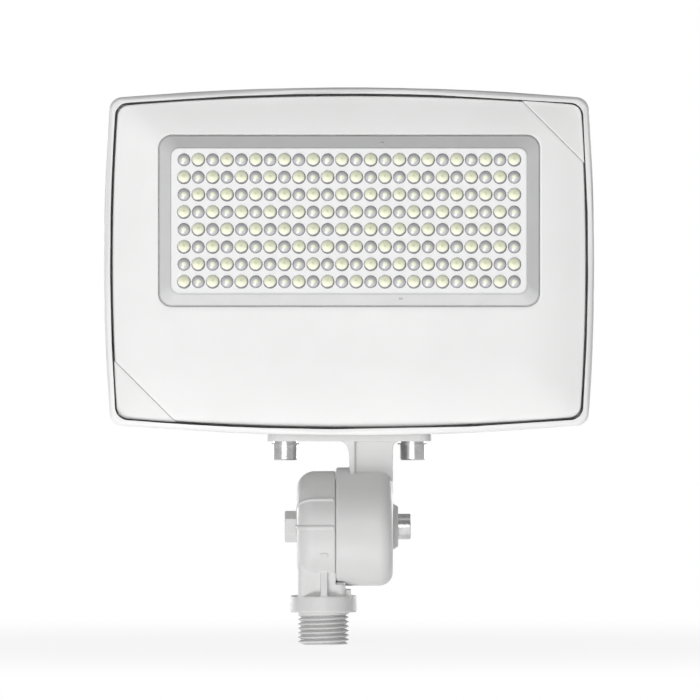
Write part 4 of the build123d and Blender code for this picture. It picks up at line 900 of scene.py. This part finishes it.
def phosphor_squares(tree, place):
    """0 at the middle of every LED, 1 half a pitch away."""
    for operation, *other in (("SUBTRACT", (head_x, 0, head_z + window_up)),
                              ("DIVIDE", (lenslet_pitch_x, 1, lenslet_pitch_z)), ("FRACTION",),
                              ("SUBTRACT", (0.5, 0, 0.5)), ("ABSOLUTE",)):
        place = lamp_node(tree, "ShaderNodeVectorMath", enumerate([place, *other]),
                         operation=operation).outputs["Vector"]
    split = lamp_node(tree, "ShaderNodeSeparateXYZ", ((0, place),))
    return lamp_node(tree, "ShaderNodeMath", ((0, split.outputs["X"]), (1, split.outputs["Z"])),
                    operation="MAXIMUM").outputs[0]


for node, name, phosphor in (("warm_leds", "warm_led_package", (0.86, 0.66, 0.2)),
                             ("cool_leds", "cool_led_package", (0.87, 0.85, 0.42))):
    clothed(node, patched(name, phosphor_squares,
                          [(0.0, phosphor), (0.16, phosphor), (0.175, (0.84, 0.84, 0.82))], (0.25, 0.4)))

# Board lead: two cores in pale silicone, bent back from the light board down into the driver bay. The
# insulation is drawn over the strands with a faint grain.
lead_silicone = moulded("pale_silicone_lead", (0.72, 0.72, 0.7), 0.08, 200, 0.0002, 0.00001, (0.4, 0.55))
clothed("board_lead", lead_silicone)

# Driver: a folded aluminium case and lid, screwed to two bosses in the bay. Its board is green, with dark
# drums and blocks, and a cream connector takes the lead.


def board_depth(tree, place):
    """0 at the front of the driver's board, 1 six millimetres above it."""
    split = lamp_node(tree, "ShaderNodeSeparateXYZ", ((0, place),))
    return carried(tree, split.outputs["Y"], 0, 1, (driver_board_y, driver_board_y + 0.006))


drawn_aluminium = moulded("drawn_aluminium", (0.6, 0.61, 0.62), 0.1, 140, 0.0001, 0.00001, (0.28, 0.42), 1.0)
clothed("driver_case", drawn_aluminium)
clothed("driver_lid", drawn_aluminium)
driver_board_y = min(v.co.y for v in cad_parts["driver_board"].data.vertices)
board_green = (0.04, 0.26, 0.1)
clothed("driver_board", patched("green_circuit_board", board_depth,
                                [(0.0, board_green), (0.28, board_green), (0.3, (0.05, 0.05, 0.055)),
                                 (0.9, (0.08, 0.075, 0.07))], (0.35, 0.5)))
clothed("driver_terminal", moulded("cream_connector", (0.8, 0.78, 0.66), 0.05))

# Earth screw, pressure vent and slide switches: the screw is plated in brass, the vent is a grey moulding
# in the housing's back, and the switches are black bodies with two white knobs.
brass = moulded("brass_plate", (0.7, 0.5, 0.22), 0.1, 300, 0.0001, 0.00001, (0.25, 0.38), 1.0)
clothed("ground_screw", brass)
clothed("vent_plug", moulded("grey_vent_plastic", (0.5, 0.5, 0.5), 0.08, 120, 0.0003, 0.00003, (0.5, 0.65)))
clothed("selector_switch", moulded("black_switch_body", (0.035, 0.035, 0.037), 0.2, 160, 0.0003, 0.00002))
knob_white = moulded("white_knob_plastic", (0.82, 0.82, 0.8), 0.05, 160, 0.0003, 0.00002, (0.35, 0.5))
clothed("power_slider", knob_white)
clothed("colour_slider", knob_white)
